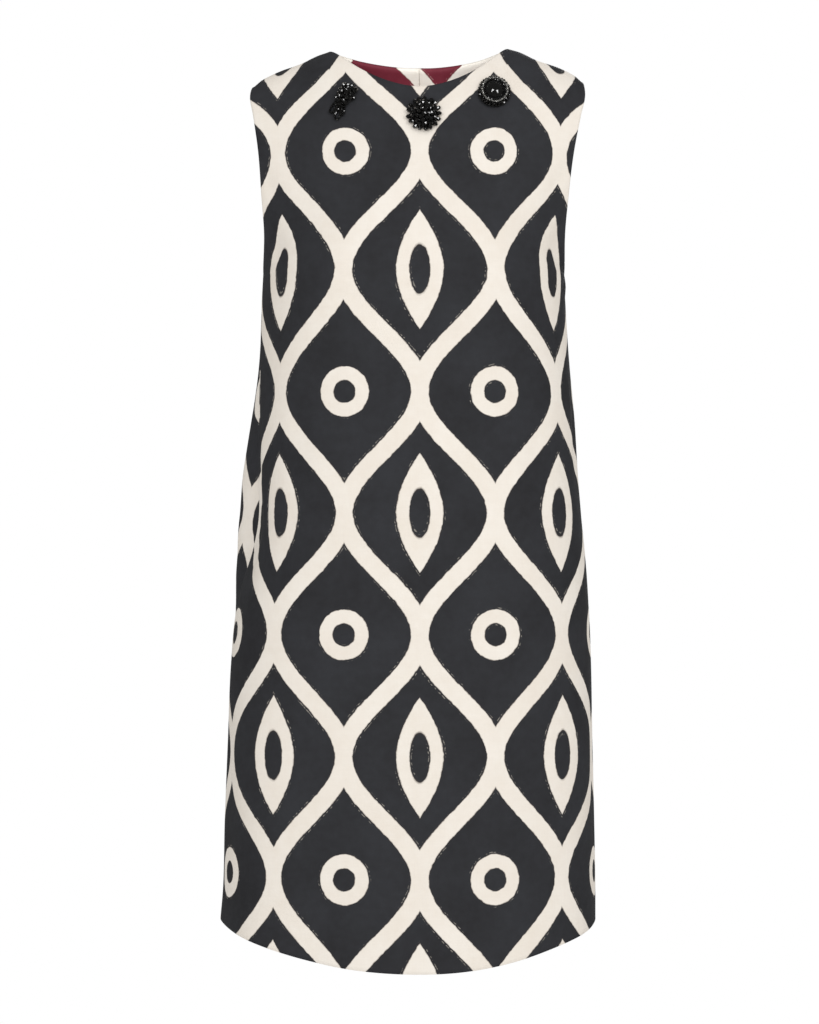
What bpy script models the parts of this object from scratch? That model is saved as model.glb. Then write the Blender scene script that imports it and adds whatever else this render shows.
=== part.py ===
"""Sleeveless A-line shift dress, standing open as a wearer holds it.

The three panels are walls of cloth, lofted through sections of a general figure. All sizes are
in millimetres and become metres when a mesh is made. +X is the viewer's right, the front faces
-Y and Z is up. The origin lies between the shoulder seams, where the wearer holds the dress.
"""

import math

import bmesh
import bpy
import numpy as np
from mathutils import Matrix, Vector

MM = 0.001
LEFT, RIGHT = -1.0, 1.0
FRONT, BACK = -1.0, 1.0

# Cloth
WALL = 1.6
LINING_WALL = 1.0
SEAM_GAP = 0.3
SEAT_GAP = 0.4

# Heights on the centre line, and the rise of the hem towards the side seams
HEM_Z = -904.0
UNDERARM_Z = -222.0
HEM_RISE = 40.0
HEM_RISE_REACH = 300.0
RISE_POWER = 2.1

# Shoulders: the seam runs from the neck point to the tip. The figure goes on inwards from the
# seam to its neck, higher at the nape, and the neckline is an oval cut out of it.
SHOULDER_X = {LEFT: 166.0, RIGHT: 163.5}
NECK_SHARE = 0.548
NECK_DEPTH = {FRONT: 62.0, BACK: 60.0}
NECK_CENTRE_Z = {FRONT: -40.0, BACK: -9.0}
NAPE_RISE = 35.0
NAPE_SPREAD = 2.5

# Ridge of the shoulders: distance from the centre line, height on the left and on the right
RIDGE = np.array((
    (0.0, 13.0, 13.0),
    (30.0, 12.5, 13.0),
    (60.0, 9.0, 11.0),
    (91.0, 1.0, 3.0),
    (115.0, -7.5, -4.5),
    (140.0, -19.0, -15.5),
    (170.0, -34.0, -31.0),
))

# Armholes: how far the edge runs forward and back of the side seam
ARMHOLE_REACH = {FRONT: 52.0, BACK: 56.0}

# Cross sections of the figure: height, depth of front and back, squareness (2 is an ellipse)
SECTION_COLUMNS = ("z", "front", "back", "square")
SECTIONS = np.array((
    (-903.0, 135.0, 130.0, 2.30),
    (-780.0, 129.0, 125.0, 2.30),
    (-650.0, 123.0, 118.0, 2.35),
    (-540.0, 117.0, 111.0, 2.40),
    (-450.0, 113.0, 99.0, 2.40),
    (-380.0, 111.0, 93.0, 2.40),
    (-310.0, 112.0, 92.0, 2.40),
    (-225.0, 115.0, 97.0, 2.45),
    (-180.0, 110.0, 100.0, 2.40),
    (-130.0, 97.0, 97.0, 2.30),
    (-90.0, 84.0, 88.0, 2.20),
))

# Side seams: height, distance from the centre line on the left and on the right.
# The left seam is drawn in by a fold between the waist and the hip.
SEAM_COLUMNS = ("z", "left", "right")
SIDE_SEAMS = np.array((
    (-866.0, 199.0, 175.5),
    (-840.0, 196.6, 175.5),
    (-767.0, 194.5, 174.5),
    (-687.0, 191.5, 172.8),
    (-607.0, 188.0, 171.2),
    (-560.0, 183.5, 169.3),
    (-527.0, 176.0, 166.8),
    (-500.0, 167.5, 164.5),
    (-470.0, 161.5, 162.0),
    (-420.0, 161.0, 158.0),
    (-367.0, 160.5, 154.8),
    (-310.0, 159.5, 149.5),
    (-250.0, 157.5, 145.6),
    (-222.0, 156.0, 144.5),
))

# Armhole edges: height, distance from the centre line on the left and on the right
ARMHOLES = np.array((
    (-222.0, 156.0, 144.5),
    (-187.0, 154.0, 144.0),
    (-147.0, 156.4, 147.2),
    (-107.0, 159.3, 152.1),
    (-67.0, 165.0, 159.8),
    (-45.0, 168.6, 164.6),
    (-28.0, 165.5, 163.5),
))

# Folds and fullness, pushed along the cloth's normal. A row runs from one place to another;
# a place is a share of the panel's half width and a height. It stands start, peak and end
# high, with the peak at a share of its length, and fades over its spread to each side.
RELIEF_REACH = 250.0
RELIEF = (
    # panel, from, to, spread, start, peak, end, peak at
    (FRONT, (-0.40, -250.0), (-0.38, -215.0), 60.0, 4.0, 6.0, 4.0, 0.5),
    (FRONT, (0.40, -250.0), (0.38, -215.0), 60.0, 4.0, 6.0, 4.0, 0.5),
    (FRONT, (-0.98, -178.0), (-0.66, -220.0), 14.0, -2.6, -2.2, 0.0, 0.4),
    (FRONT, (0.98, -180.0), (0.66, -222.0), 14.0, -2.6, -2.2, 0.0, 0.4),
    (FRONT, (-0.90, -340.0), (-0.82, -600.0), 22.0, 0.0, -4.0, 0.0, 0.6),
    (FRONT, (-0.62, -600.0), (-0.66, -903.0), 34.0, 0.0, 3.0, 5.0, 0.5),
    (FRONT, (0.66, -560.0), (0.70, -903.0), 34.0, 0.0, 2.5, 4.5, 0.5),
    (BACK, (-0.85, -270.0), (-0.86, -590.0), 24.0, 2.0, 25.0, 0.0, 0.62),
    (BACK, (0.84, -380.0), (0.84, -640.0), 26.0, 0.0, 5.0, 0.0, 0.5),
    (BACK, (-0.44, -180.0), (-0.44, -140.0), 55.0, 3.0, 3.5, 3.0, 0.5),
    (BACK, (0.44, -180.0), (0.44, -140.0), 55.0, 3.0, 3.5, 3.0, 0.5),
    (BACK, (-0.46, -540.0), (-0.52, -903.0), 36.0, 0.0, 4.0, 7.0, 0.5),
    (BACK, (0.40, -520.0), (0.48, -903.0), 36.0, 0.0, 4.0, 6.0, 0.5),
    (BACK, (0.0, -330.0), (0.0, -440.0), 40.0, 0.0, -4.0, 0.0, 0.5),
)
SEAM_FADE = 0.07
TOP_FADE = 0.10

# Grid of the panels
NECK_STEPS = 9
SHOULDER_STEPS = 7
BODY_STEPS = 24
CHEST_STEPS = 12
TURN = 1.5
LEAVE = 1.2
LEAVE_STEP = 0.02
ARRIVE = 0.8
EDGE_PULL = 5
DENSE = 480
STEP = 0.002

# Back neck lining and zip
LINING_ROWS = 5
ZIP_TAPE_REACH = 12.0
LINING_SET_DOWN = 0.6
LINING_SPLIT = 1.2
ZIP_FOOT_Z = -470.0
ZIP_TAPE_WALL = 0.9
ZIP_TAPE_SET_DOWN = 3.0
SLIDER_BELOW_NECK = 13.0
SLIDER_PLATE = (7.0, 1.4, 9.0)
BRIDGE_POST = (1.6, 3.0, 1.1)
BRIDGE_POST_Z = 1.5
BRIDGE_BAR = (1.6, 0.9, 4.1)
HINGE_ABOVE_PLATE = 1.5
BRIDGE_CLEARANCE = 0.95
BRIDGE_BITE = 0.2
PULL_HEAD = 2.5
PULL_CORNER = 0.8
PULL_HEAD_BAR = 1.1
PULL_EYE = (1.4, 3.2)
PULL_FOOT_RADIUS = 3.0
PULL_LENGTH = 20.0
PULL_WALL = 1.0
PULL_TILT = 5.0

# Beaded ornaments: place on the front, half width and half height, lean of the long side,
# and the dome that the beads lie on
GOLDEN_ANGLE = math.pi * (3.0 - math.sqrt(5.0))
BEAD_PROUD = 0.35
BEAD_STRETCH = 1.15
BEAD_SPIN = 1.7
PAD_WALL = 1.2
PAD_RINGS = 3
PAD_SPOKES = 16
CENTRE_PLACE = (4.0, -70.5)
CENTRE_RADIUS = 15.4
CENTRE_DOME = 7.5
CENTRE_BEADS = 36
CENTRE_BEAD_RADIUS = 2.2
LEFT_PLACE = (-72.0, -50.5)
LEFT_SIZE = (8.2, 11.2)
LEFT_LEAN = -38.0
LEFT_DOME = 4.5
LEFT_BEADS = 14
LEFT_BEAD_RADIUS = 2.3
LOOP_WIRE = 1.15
LOOPS = (
    # from the cluster's middle: along x, along z; half width, half length, lean
    (-11.6, -12.2, 2.5, 6.8, 32.0),
    (-6.4, -16.2, 2.9, 8.0, 14.0),
    (-0.6, -14.2, 2.5, 6.6, -2.0),
)
RIGHT_PLACE = (73.0, -47.0)
RIGHT_RADIUS = 13.9
RIM_RADIUS = 14.3
RIGHT_DOME = 1.2
RIM_BEADS = 22
RIM_BEAD_RADIUS = 1.95
STONE_RADIUS = 8.7
STONE_TABLE = 5.2
STONE_HEIGHT = 6.4
STONE_SIDES = 12


# ---------------------------------------------------------------- tables and small helpers

def smooth_step(value):
    """Ease from 0 to 1."""
    value = np.clip(value, 0.0, 1.0)
    return value * value * (3.0 - 2.0 * value)


def from_table(table, column, height):
    """A table's column at a height, on a smooth curve through its rows."""
    knots, values = table[:, 0], table[:, column]
    slopes = np.gradient(values, knots)
    height = np.clip(height, knots[0], knots[-1])
    low = np.clip(np.searchsorted(knots, height) - 1, 0, len(knots) - 2)
    span = knots[low + 1] - knots[low]
    part = (height - knots[low]) / span
    start = (1.0 + 2.0 * part) * (1.0 - part) ** 2 * values[low]
    end = part ** 2 * (3.0 - 2.0 * part) * values[low + 1]
    leave = part * (1.0 - part) ** 2 * span * slopes[low]
    arrive = part ** 2 * (part - 1.0) * span * slopes[low + 1]
    return start + end + leave + arrive


def even_points(path, shares):
    """Points of a path at shares of its length."""
    steps = np.linalg.norm(np.diff(path, axis=0), axis=1)
    length = np.concatenate(([0.0], np.cumsum(steps)))
    length /= length[-1]
    return np.stack([np.interp(shares, length, path[:, k]) for k in range(3)], axis=-1)


def unit(vectors):
    """Vectors of length 1."""
    return vectors / np.linalg.norm(vectors, axis=-1, keepdims=True)


def side_column(side):
    """The column of a seam table that holds this side."""
    return SEAM_COLUMNS.index("left" if side == LEFT else "right")


# ---------------------------------------------------------------- the surface of the cloth
# "across" is 0 on the centre line and -1 or 1 at the left or right edge of a panel.
# "up" is 0 at the hem, 1 at the underarm and 2 at the neckline and the shoulder seam.

def ridge_height(panel, side, reach):
    """Height of the shoulder's ridge at a distance from the centre line."""
    inside = 1.0 - np.minimum(reach / (NECK_SHARE * SHOULDER_X[side]), 1.0) ** NAPE_SPREAD
    nape = NAPE_RISE * inside ** 1.5 if panel == BACK else 0.0
    return from_table(RIDGE, side_column(side), reach) + nape


def edge_points(panel, side, up):
    """Ends of rows: on the side seam, or on the armhole's edge above the underarm."""
    up = np.atleast_1d(up)
    middle = HEM_Z + (UNDERARM_Z - HEM_Z) * up
    seam_z = middle + HEM_RISE * smooth_step(1.0 - (middle - HEM_Z) / HEM_RISE_REACH)
    share = np.clip(up - 1.0, 0.0, 1.0)
    turn = math.pi * share ** 2 * (2.0 - share)
    tip_z = ridge_height(FRONT, side, SHOULDER_X[side])
    arm_z = UNDERARM_Z + (tip_z - UNDERARM_Z) * (1.0 - np.cos(turn)) / 2.0
    below = up <= 1.0
    z = np.where(below, seam_z, arm_z)
    column = side_column(side)
    x = np.where(below, from_table(SIDE_SEAMS, column, z), from_table(ARMHOLES, column, z))
    y = np.where(below, 0.0, panel * ARMHOLE_REACH[panel] * np.sin(turn))
    return np.stack((side * x, y, z), axis=-1)


def centre_point(panel, up):
    """The middle of a row, on the centre front or centre back line."""
    if up <= 1.0:
        z = HEM_Z + (UNDERARM_Z - HEM_Z) * up
    else:
        z = UNDERARM_Z + (NECK_CENTRE_Z[panel] - UNDERARM_Z) * (up - 1.0)
    depth = from_table(SECTIONS, SECTION_COLUMNS.index("front" if panel == FRONT else "back"), z)
    return np.array((0.0, panel * depth, z))


def body_points(panel, side, up, shares):
    """Places on one row of the body, which is part of a rounded rectangle."""
    centre = centre_point(panel, up)
    edge = edge_points(panel, side, up)[0]
    power = 2.0 / from_table(SECTIONS, SECTION_COLUMNS.index("square"), centre[2])
    last = math.acos(min(1.0, abs(edge[1] / centre[1]) ** (1.0 / power)))
    turn = np.linspace(0.0, last, DENSE)
    reach = (np.sin(turn) / math.sin(last)) ** power
    path = np.stack((
        edge[0] * reach,
        centre[1] * np.abs(np.cos(turn)) ** power,
        centre[2] + (edge[2] - centre[2]) * reach ** RISE_POWER), axis=-1)
    return even_points(path, shares)


def shoulder_points(panel, side, up, shares):
    """Places above the chest, on curves that turn over to the shoulder's ridge."""
    shares = np.append(shares, 1.0)
    up = np.append(np.broadcast_to(up, len(shares) - 1), 2.0)
    part = ((up - TURN) / (2.0 - TURN))[:, None]
    start = body_points(panel, side, TURN, shares)
    reach = shares * SHOULDER_X[side]
    end = np.stack((side * reach, 0.0 * reach, ridge_height(panel, side, reach)), axis=-1)
    size = np.linalg.norm(end - start, axis=-1, keepdims=True)
    leave = LEAVE * size * unit(body_points(panel, side, TURN + LEAVE_STEP, shares) - start)
    arrive = ARRIVE * size * np.array((0.0, -panel, 0.0))

    def curve(first, last, out, home):
        return ((1.0 + 2.0 * part) * (1.0 - part) ** 2 * first
                + part ** 2 * (3.0 - 2.0 * part) * last
                + part * (1.0 - part) ** 2 * out
                + part ** 2 * (part - 1.0) * home)

    points = curve(start, end, leave, arrive)
    edge = curve(start[-1], end[-1], leave[-1], arrive[-1])
    points += (edge_points(panel, side, up) - edge) * shares[:, None] ** EDGE_PULL
    return points[:-1]


def figure_points(panel, across, up):
    """Places on the figure: across from -1 to 1, and up the same or one for each place."""
    sides = []
    for side in (LEFT, RIGHT):
        shares = np.clip(side * across, 0.0, 1.0)
        if np.max(up) <= TURN:
            sides.append(body_points(panel, side, float(np.max(up)), shares))
        else:
            sides.append(shoulder_points(panel, side, up, shares))
    return np.where((across < 0.0)[:, None], sides[0], sides[1])


def neckline_up(panel, across):
    """How far up each column goes: to the neckline's oval, or 2 at the shoulder seam."""
    low = np.full(len(across), TURN)
    high = np.full(len(across), 2.0)
    width = NECK_SHARE * np.where(across < 0.0, SHOULDER_X[LEFT], SHOULDER_X[RIGHT])
    for _ in range(24):
        middle = (low + high) / 2.0
        points = figure_points(panel, across, middle)
        outside = (points[:, 0] / width) ** 2 + (points[:, 1] / NECK_DEPTH[panel]) ** 2 > 1.0
        low = np.where(outside, middle, low)
        high = np.where(outside, high, middle)
    return np.where(np.abs(across) < NECK_SHARE - 1e-6, low, 2.0)


def relief_height(panel, across, up, points):
    """How far folds and fullness push the cloth out."""
    height = np.zeros(len(across))
    for where, start, end, spread, first, peak, last, peak_at in RELIEF:
        if where != panel:
            continue
        origin = np.array((start[0] * RELIEF_REACH, start[1]))
        run = np.array((end[0] * RELIEF_REACH, end[1])) - origin
        place = np.stack((across * RELIEF_REACH, points[:, 2]), axis=-1) - origin
        along = np.clip(place @ run / (run @ run), 0.0, 1.0)
        away = np.linalg.norm(place - along[:, None] * run, axis=-1)
        rising = first + (peak - first) * smooth_step(along / peak_at)
        falling = peak + (last - peak) * smooth_step((along - peak_at) / (1.0 - peak_at))
        standing = np.where(along < peak_at, rising, falling)
        height += standing * np.exp(-(away / spread) ** 2)
    fade = smooth_step((1.0 - np.abs(across)) / SEAM_FADE) * smooth_step((2.0 - up) / TOP_FADE)
    return height * fade


def normals_of(points_at, panel, across, up):
    """Outward normals of a surface, from small steps across and up."""
    east = points_at(panel, np.minimum(across + STEP, 1.0), up)
    west = points_at(panel, np.maximum(across - STEP, -1.0), up)
    above = points_at(panel, across, np.minimum(up + STEP, 2.0))
    below = points_at(panel, across, np.maximum(up - STEP, 0.0))
    return unit(-panel * np.cross(east - west, above - below))


def cloth_points(panel, across, up):
    """Places on the panel's outer surface, with its folds."""
    points = figure_points(panel, across, up)
    height = relief_height(panel, across, up, points)
    return points + height[:, None] * normals_of(figure_points, panel, across, up)


class Patch:
    """A fine stretch of a panel's outer surface, on which small pieces are seated."""

    def __init__(self, panel, across, rows):
        self.points = np.concatenate([cloth_points(panel, across, up) for up in rows])
        self.normals = np.concatenate([
            normals_of(cloth_points, panel, across, up) for up in rows])

    def place(self, x, z):
        """The point and the normal of the surface at a given x and z."""
        away = (self.points[:, 0] - x) ** 2 + (self.points[:, 2] - z) ** 2
        nearest = int(np.argmin(away))
        point, normal = self.points[nearest], self.normals[nearest]
        slope = (normal[0] * (x - point[0]) + normal[2] * (z - point[2])) / normal[1]
        return np.array((x, point[1] - slope, z)), normal


# ---------------------------------------------------------------- objects and materials

def new_material(name, colour, roughness, metallic=0.0):
    """A plain material for the viewport."""
    material = bpy.data.materials.new(name)
    material.use_nodes = True
    shader = material.node_tree.nodes["Principled BSDF"]
    shader.inputs["Base Color"].default_value = (*colour, 1.0)
    shader.inputs["Roughness"].default_value = roughness
    shader.inputs["Metallic"].default_value = metallic
    material.diffuse_color = (*colour, 1.0)
    return material


def new_object(name, mesh, collection, material=None):
    """An object of a mesh, in a collection."""
    thing = bpy.data.objects.new(name, mesh)
    collection.objects.link(thing)
    if material:
        mesh.materials.append(material)
    return thing


def new_cutter(name, mesh, collection):
    """An object that only serves a Boolean modifier."""
    thing = new_object(name, mesh, collection)
    thing.hide_render = True
    thing.display_type = "WIRE"
    return thing


def join_solids(thing, cutter):
    """Fuse a cutter's bodies with an object."""
    union = thing.modifiers.new("union", "BOOLEAN")
    union.operation = "UNION"
    union.solver = "EXACT"
    union.use_self = True
    union.object = cutter


def wall_mesh(name, outer, inner, panel):
    """A closed wall between two grids of points."""
    rows, columns = outer.shape[:2]
    mesh = bpy.data.meshes.new(name)
    build = bmesh.new()
    skins = []
    for grid in (outer, inner):
        flat = [build.verts.new(Vector(point) * MM) for point in grid.reshape(-1, 3)]
        skins.append([flat[r * columns:(r + 1) * columns] for r in range(rows)])
    outside, inside = skins

    def patch(a, b, c, d):
        build.faces.new((a, b, c, d) if panel == FRONT else (d, c, b, a))

    for r in range(rows - 1):
        for c in range(columns - 1):
            patch(outside[r][c], outside[r][c + 1], outside[r + 1][c + 1], outside[r + 1][c])
            patch(inside[r][c], inside[r + 1][c], inside[r + 1][c + 1], inside[r][c + 1])
        patch(outside[r][0], outside[r + 1][0], inside[r + 1][0], inside[r][0])
        patch(inside[r][-1], inside[r + 1][-1], outside[r + 1][-1], outside[r][-1])
    for c in range(columns - 1):
        patch(inside[0][c], inside[0][c + 1], outside[0][c + 1], outside[0][c])
        patch(outside[-1][c], outside[-1][c + 1], inside[-1][c + 1], inside[-1][c])
    bmesh.ops.triangulate(build, faces=build.faces, quad_method="SHORT_EDGE")
    build.to_mesh(mesh)
    build.free()
    mesh.shade_smooth()
    mesh.set_sharp_from_angle(angle=math.radians(50.0))
    return mesh


def draw_in(grids, edge, neighbour, distance):
    """Move one edge of each grid towards the row or column beside it."""
    for grid in grids:
        grid[edge] += distance * unit(grid[neighbour] - grid[edge])


# ---------------------------------------------------------------- panels

ROWS = np.concatenate((
    np.linspace(0.0, 1.0, BODY_STEPS + 1),
    np.linspace(1.0, 2.0, CHEST_STEPS + 1)[1:]))
MIDDLE = NECK_STEPS + SHOULDER_STEPS


def row_places(up):
    """Places of the columns: even on the body, gathered at the neck points on the shoulders."""
    even = np.linspace(0.0, 1.0, MIDDLE + 1)
    neck = NECK_SHARE * np.sin(np.linspace(0.0, math.pi / 2.0, NECK_STEPS + 1))
    shoulder = np.linspace(NECK_SHARE, 1.0, SHOULDER_STEPS + 1)[1:]
    gathered = np.concatenate((neck, shoulder))
    half = even + (gathered - even) * smooth_step(up - 1.0)
    return np.concatenate((-half[:0:-1], half))


def cloth_grid(panel):
    """Outer points and normals of a panel, one row of points for each row."""
    points, normals = [], []
    for row in ROWS:
        across = row_places(row)
        up = row
        if row > TURN:
            share = (row - TURN) / (2.0 - TURN)
            up = TURN + share * (neckline_up(panel, across) - TURN)
        points.append(cloth_points(panel, across, up))
        normals.append(normals_of(cloth_points, panel, across, up))
    return np.array(points), np.array(normals)


def share_seam_normals(front_normals, back_normals):
    """Give both panels the same normals along the side seams and the shoulder seams."""
    seam_rows = slice(0, BODY_STEPS + 1)
    for column in (0, -1):
        both = unit(front_normals[seam_rows, column] + back_normals[seam_rows, column])
        front_normals[seam_rows, column] = both
        back_normals[seam_rows, column] = both
    shoulder = np.abs(row_places(2.0)) >= NECK_SHARE - 1e-6
    both = unit(front_normals[-1, shoulder] + back_normals[-1, shoulder])
    front_normals[-1, shoulder] = both
    back_normals[-1, shoulder] = both


def build_panels(collection, cloth):
    """The front and the two halves of the back, as walls a seam gap apart."""
    front, front_normals = cloth_grid(FRONT)
    back, back_normals = cloth_grid(BACK)
    share_seam_normals(front_normals, back_normals)
    halves = {
        "front": (FRONT, front, front_normals),
        "back_left": (BACK, back[:, :MIDDLE + 1], back_normals[:, :MIDDLE + 1]),
        "back_right": (BACK, back[:, MIDDLE:], back_normals[:, MIDDLE:]),
    }
    for name, (panel, points, normals) in halves.items():
        outer = points.copy()
        inner = points - WALL * normals
        columns = (slice(None), 0), (slice(None), 1), (slice(None), -1), (slice(None), -2)
        draw_in((outer, inner), columns[0], columns[1], SEAM_GAP / 2.0)
        draw_in((outer, inner), columns[2], columns[3], SEAM_GAP / 2.0)
        draw_in((outer, inner), -1, -2, SEAM_GAP / 2.0)
        new_object(name, wall_mesh(name, outer, inner, panel), collection, cloth)
    return back, back_normals


def beside_seam(grid, side, distance):
    """Points of a back grid at a distance from the centre back seam, on its first facets."""
    centre = grid[:, MIDDLE]
    return centre + distance * unit(grid[:, MIDDLE + side] - centre)


def build_lining(back, normals, collection, material):
    """The lining of the back neck: two thin walls inside the back, over the zip tape."""
    rows = slice(len(ROWS) - 1 - LINING_ROWS, len(ROWS))
    points, inward = back[rows], -normals[rows]
    depth = WALL + SEAM_GAP + ZIP_TAPE_WALL + SEAM_GAP
    halves = {
        "back_neck_lining_left": slice(MIDDLE - NECK_STEPS, MIDDLE + 1),
        "back_neck_lining_right": slice(MIDDLE, MIDDLE + NECK_STEPS + 1),
    }
    for name, columns in halves.items():
        walls = [(points + d * inward)[:, columns] for d in (depth, depth + LINING_WALL)]
        draw_in(walls, -1, -2, LINING_SET_DOWN)
        draw_in(walls, (slice(None), 0), (slice(None), 1), LINING_SPLIT / 2.0)
        draw_in(walls, (slice(None), -1), (slice(None), -2), LINING_SPLIT / 2.0)
        new_object(name, wall_mesh(name, *walls, BACK), collection, material)


def build_zip_tape(back, normals, collection, material):
    """The zip's tape, behind the centre back seam from the neck to the hip."""
    first = int(np.argmax(back[:, MIDDLE, 2] > ZIP_FOOT_Z))
    points, inward = back[first:], -normals[first:]
    walls = []
    for depth in (WALL + SEAM_GAP, WALL + SEAM_GAP + ZIP_TAPE_WALL):
        sheet = points + depth * inward
        left = beside_seam(sheet, -1, ZIP_TAPE_REACH)
        right = beside_seam(sheet, 1, ZIP_TAPE_REACH)
        walls.append(np.stack((left, sheet[:, MIDDLE], right), axis=1))
    draw_in(walls, -1, -2, ZIP_TAPE_SET_DOWN)
    new_object("zip_tape", wall_mesh("zip_tape", *walls, BACK), collection, material)


# ---------------------------------------------------------------- zip slider and pull tab

def box_into(build, size, centre):
    """Add a box to a bmesh."""
    place = Matrix.Translation(Vector(centre) * MM) @ Matrix.Diagonal((*(Vector(size) * MM), 1.0))
    bmesh.ops.create_cube(build, size=1.0, matrix=place)


def mesh_from(build, name):
    """Turn a bmesh into a mesh."""
    mesh = bpy.data.meshes.new(name)
    build.to_mesh(mesh)
    build.free()
    return mesh


def slider_frame():
    """Where the slider sits: X across, Y away from the cloth, Z up along the seam."""
    centre = np.zeros(1)
    neck = figure_points(BACK, centre, neckline_up(BACK, centre))[0]
    patch = Patch(BACK, np.linspace(-0.04, 0.04, 5), np.linspace(TURN + STEP, 1.95, 60))
    point, normal = patch.place(0.0, neck[2] - SLIDER_BELOW_NECK)
    away = Vector(normal).normalized()
    across = Vector((1.0, 0.0, 0.0))
    up = across.cross(away).normalized()
    frame = Matrix((across, away, up)).transposed().to_4x4()
    frame.translation = (Vector(point) + away * SEAT_GAP) * MM
    return frame


def build_slider(frame, collection, cutters, metal):
    """A plate with a bridge, under which the head of the pull tab turns."""
    depth = SLIDER_PLATE[1]
    plate = bmesh.new()
    box_into(plate, SLIDER_PLATE, (0.0, depth / 2.0, 0.0))
    slider = new_object("zip_slider", mesh_from(plate, "zip_slider"), collection, metal)
    slider.matrix_world = frame
    bridge = bmesh.new()
    bar_foot = depth + HINGE_ABOVE_PLATE + BRIDGE_CLEARANCE
    for end in (-1.0, 1.0):
        middle = bar_foot + BRIDGE_BITE - BRIDGE_POST[1] / 2.0
        box_into(bridge, BRIDGE_POST, (0.0, middle, end * BRIDGE_POST_Z))
    box_into(bridge, BRIDGE_BAR, (0.0, bar_foot + BRIDGE_BAR[1] / 2.0, 0.0))
    arch = new_cutter("slider_bridge", mesh_from(bridge, "slider_bridge"), cutters)
    arch.matrix_world = frame
    join_solids(slider, arch)


def ring_points(radius, centre, first, last, steps):
    """Points on an arc in the plane of the pull tab."""
    angles = np.radians(np.linspace(first, last, steps))
    return [(centre[0] + radius * math.cos(a), centre[1] + radius * math.sin(a)) for a in angles]


def build_pull(frame, collection, metal):
    """A flat drop-shaped tab, with an eye that lets the slider's bridge through."""
    corner_x = PULL_HEAD - PULL_CORNER
    corner_z = PULL_HEAD_BAR / 2.0 - PULL_CORNER
    outline = ring_points(PULL_CORNER, (corner_x, corner_z), 0.0, 90.0, 4)
    outline += ring_points(PULL_CORNER, (-corner_x, corner_z), 90.0, 180.0, 4)
    outline += ring_points(PULL_FOOT_RADIUS, (0.0, -PULL_LENGTH), 180.0, 360.0, 13)
    eye_x, eye_foot = PULL_EYE
    eye_head = PULL_HEAD_BAR / 2.0
    eye = [(-eye_x, -eye_head), (eye_x, -eye_head), (eye_x, -eye_foot), (-eye_x, -eye_foot)]
    curve = bpy.data.curves.new("zip_pull", "CURVE")
    curve.dimensions = "2D"
    curve.fill_mode = "BOTH"
    curve.extrude = PULL_WALL / 2.0 * MM
    for points in (outline, eye):
        spline = curve.splines.new("POLY")
        spline.points.add(len(points) - 1)
        spline.use_cyclic_u = True
        for slot, (x, z) in zip(spline.points, points):
            slot.co = (x * MM, z * MM, 0.0, 1.0)
    curve.materials.append(metal)
    pull = bpy.data.objects.new("zip_pull", curve)
    collection.objects.link(pull)
    hinge = Matrix.Translation(Vector((0.0, SLIDER_PLATE[1] + HINGE_ABOVE_PLATE, 0.0)) * MM)
    upright = Matrix.Rotation(math.radians(90.0 - PULL_TILT), 4, "X")
    pull.matrix_world = frame @ hinge @ upright


# ---------------------------------------------------------------- beaded ornaments

def seat_frame(patch, x, z, lift):
    """A frame on the front: X across, Y up the cloth, Z away from it, a lift above it."""
    point, normal = patch.place(x, z)
    away = Vector(normal).normalized()
    across = (Vector((1.0, 0.0, 0.0)) - away * away.x).normalized()
    frame = Matrix((across, away.cross(across), away)).transposed().to_4x4()
    frame.translation = (Vector(point) + away * lift) * MM
    return frame


def pad_mesh(name, patch, place, size, lean, dome):
    """A domed pad whose underside follows the front a seat gap away."""
    rings, spokes = PAD_RINGS, PAD_SPOKES
    turn = math.radians(lean)
    build = bmesh.new()
    layers = []
    for layer in range(2):
        grid = []
        for ring in range(rings + 1):
            share = ring / rings
            line = []
            for spoke in range(spokes if ring else 1):
                angle = 2.0 * math.pi * spoke / spokes
                long_x = size[0] * share * math.cos(angle)
                long_z = size[1] * share * math.sin(angle)
                x = place[0] + long_x * math.cos(turn) - long_z * math.sin(turn)
                z = place[1] + long_x * math.sin(turn) + long_z * math.cos(turn)
                point, normal = patch.place(x, z)
                lift = SEAT_GAP + layer * (PAD_WALL + dome * (1.0 - share ** 2))
                line.append(build.verts.new(Vector(point + normal * lift) * MM))
            grid.append(line)
        layers.append(grid)
    under, over = layers
    for grid, flip in ((over, False), (under, True)):
        for ring in range(rings):
            for spoke in range(spokes):
                after = (spoke + 1) % spokes
                if ring:
                    loop = (grid[ring][spoke], grid[ring + 1][spoke],
                            grid[ring + 1][after], grid[ring][after])
                else:
                    loop = (grid[0][0], grid[1][spoke], grid[1][after])
                build.faces.new(loop[::-1] if flip else loop)
    for spoke in range(spokes):
        after = (spoke + 1) % spokes
        build.faces.new((over[-1][spoke], under[-1][spoke], under[-1][after], over[-1][after]))
    return mesh_from(build, name)


def bead_into(build, frame, radius, stretch, spin):
    """Add a cut bead to a bmesh, longer along its frame's X axis by a stretch."""
    shape = Matrix.Diagonal((stretch, 1.0, 1.0, 1.0)) @ Matrix.Rotation(spin, 4, (1.0, 0.6, 0.3))
    bmesh.ops.create_icosphere(build, subdivisions=1, radius=radius * MM, matrix=frame @ shape)


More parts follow.
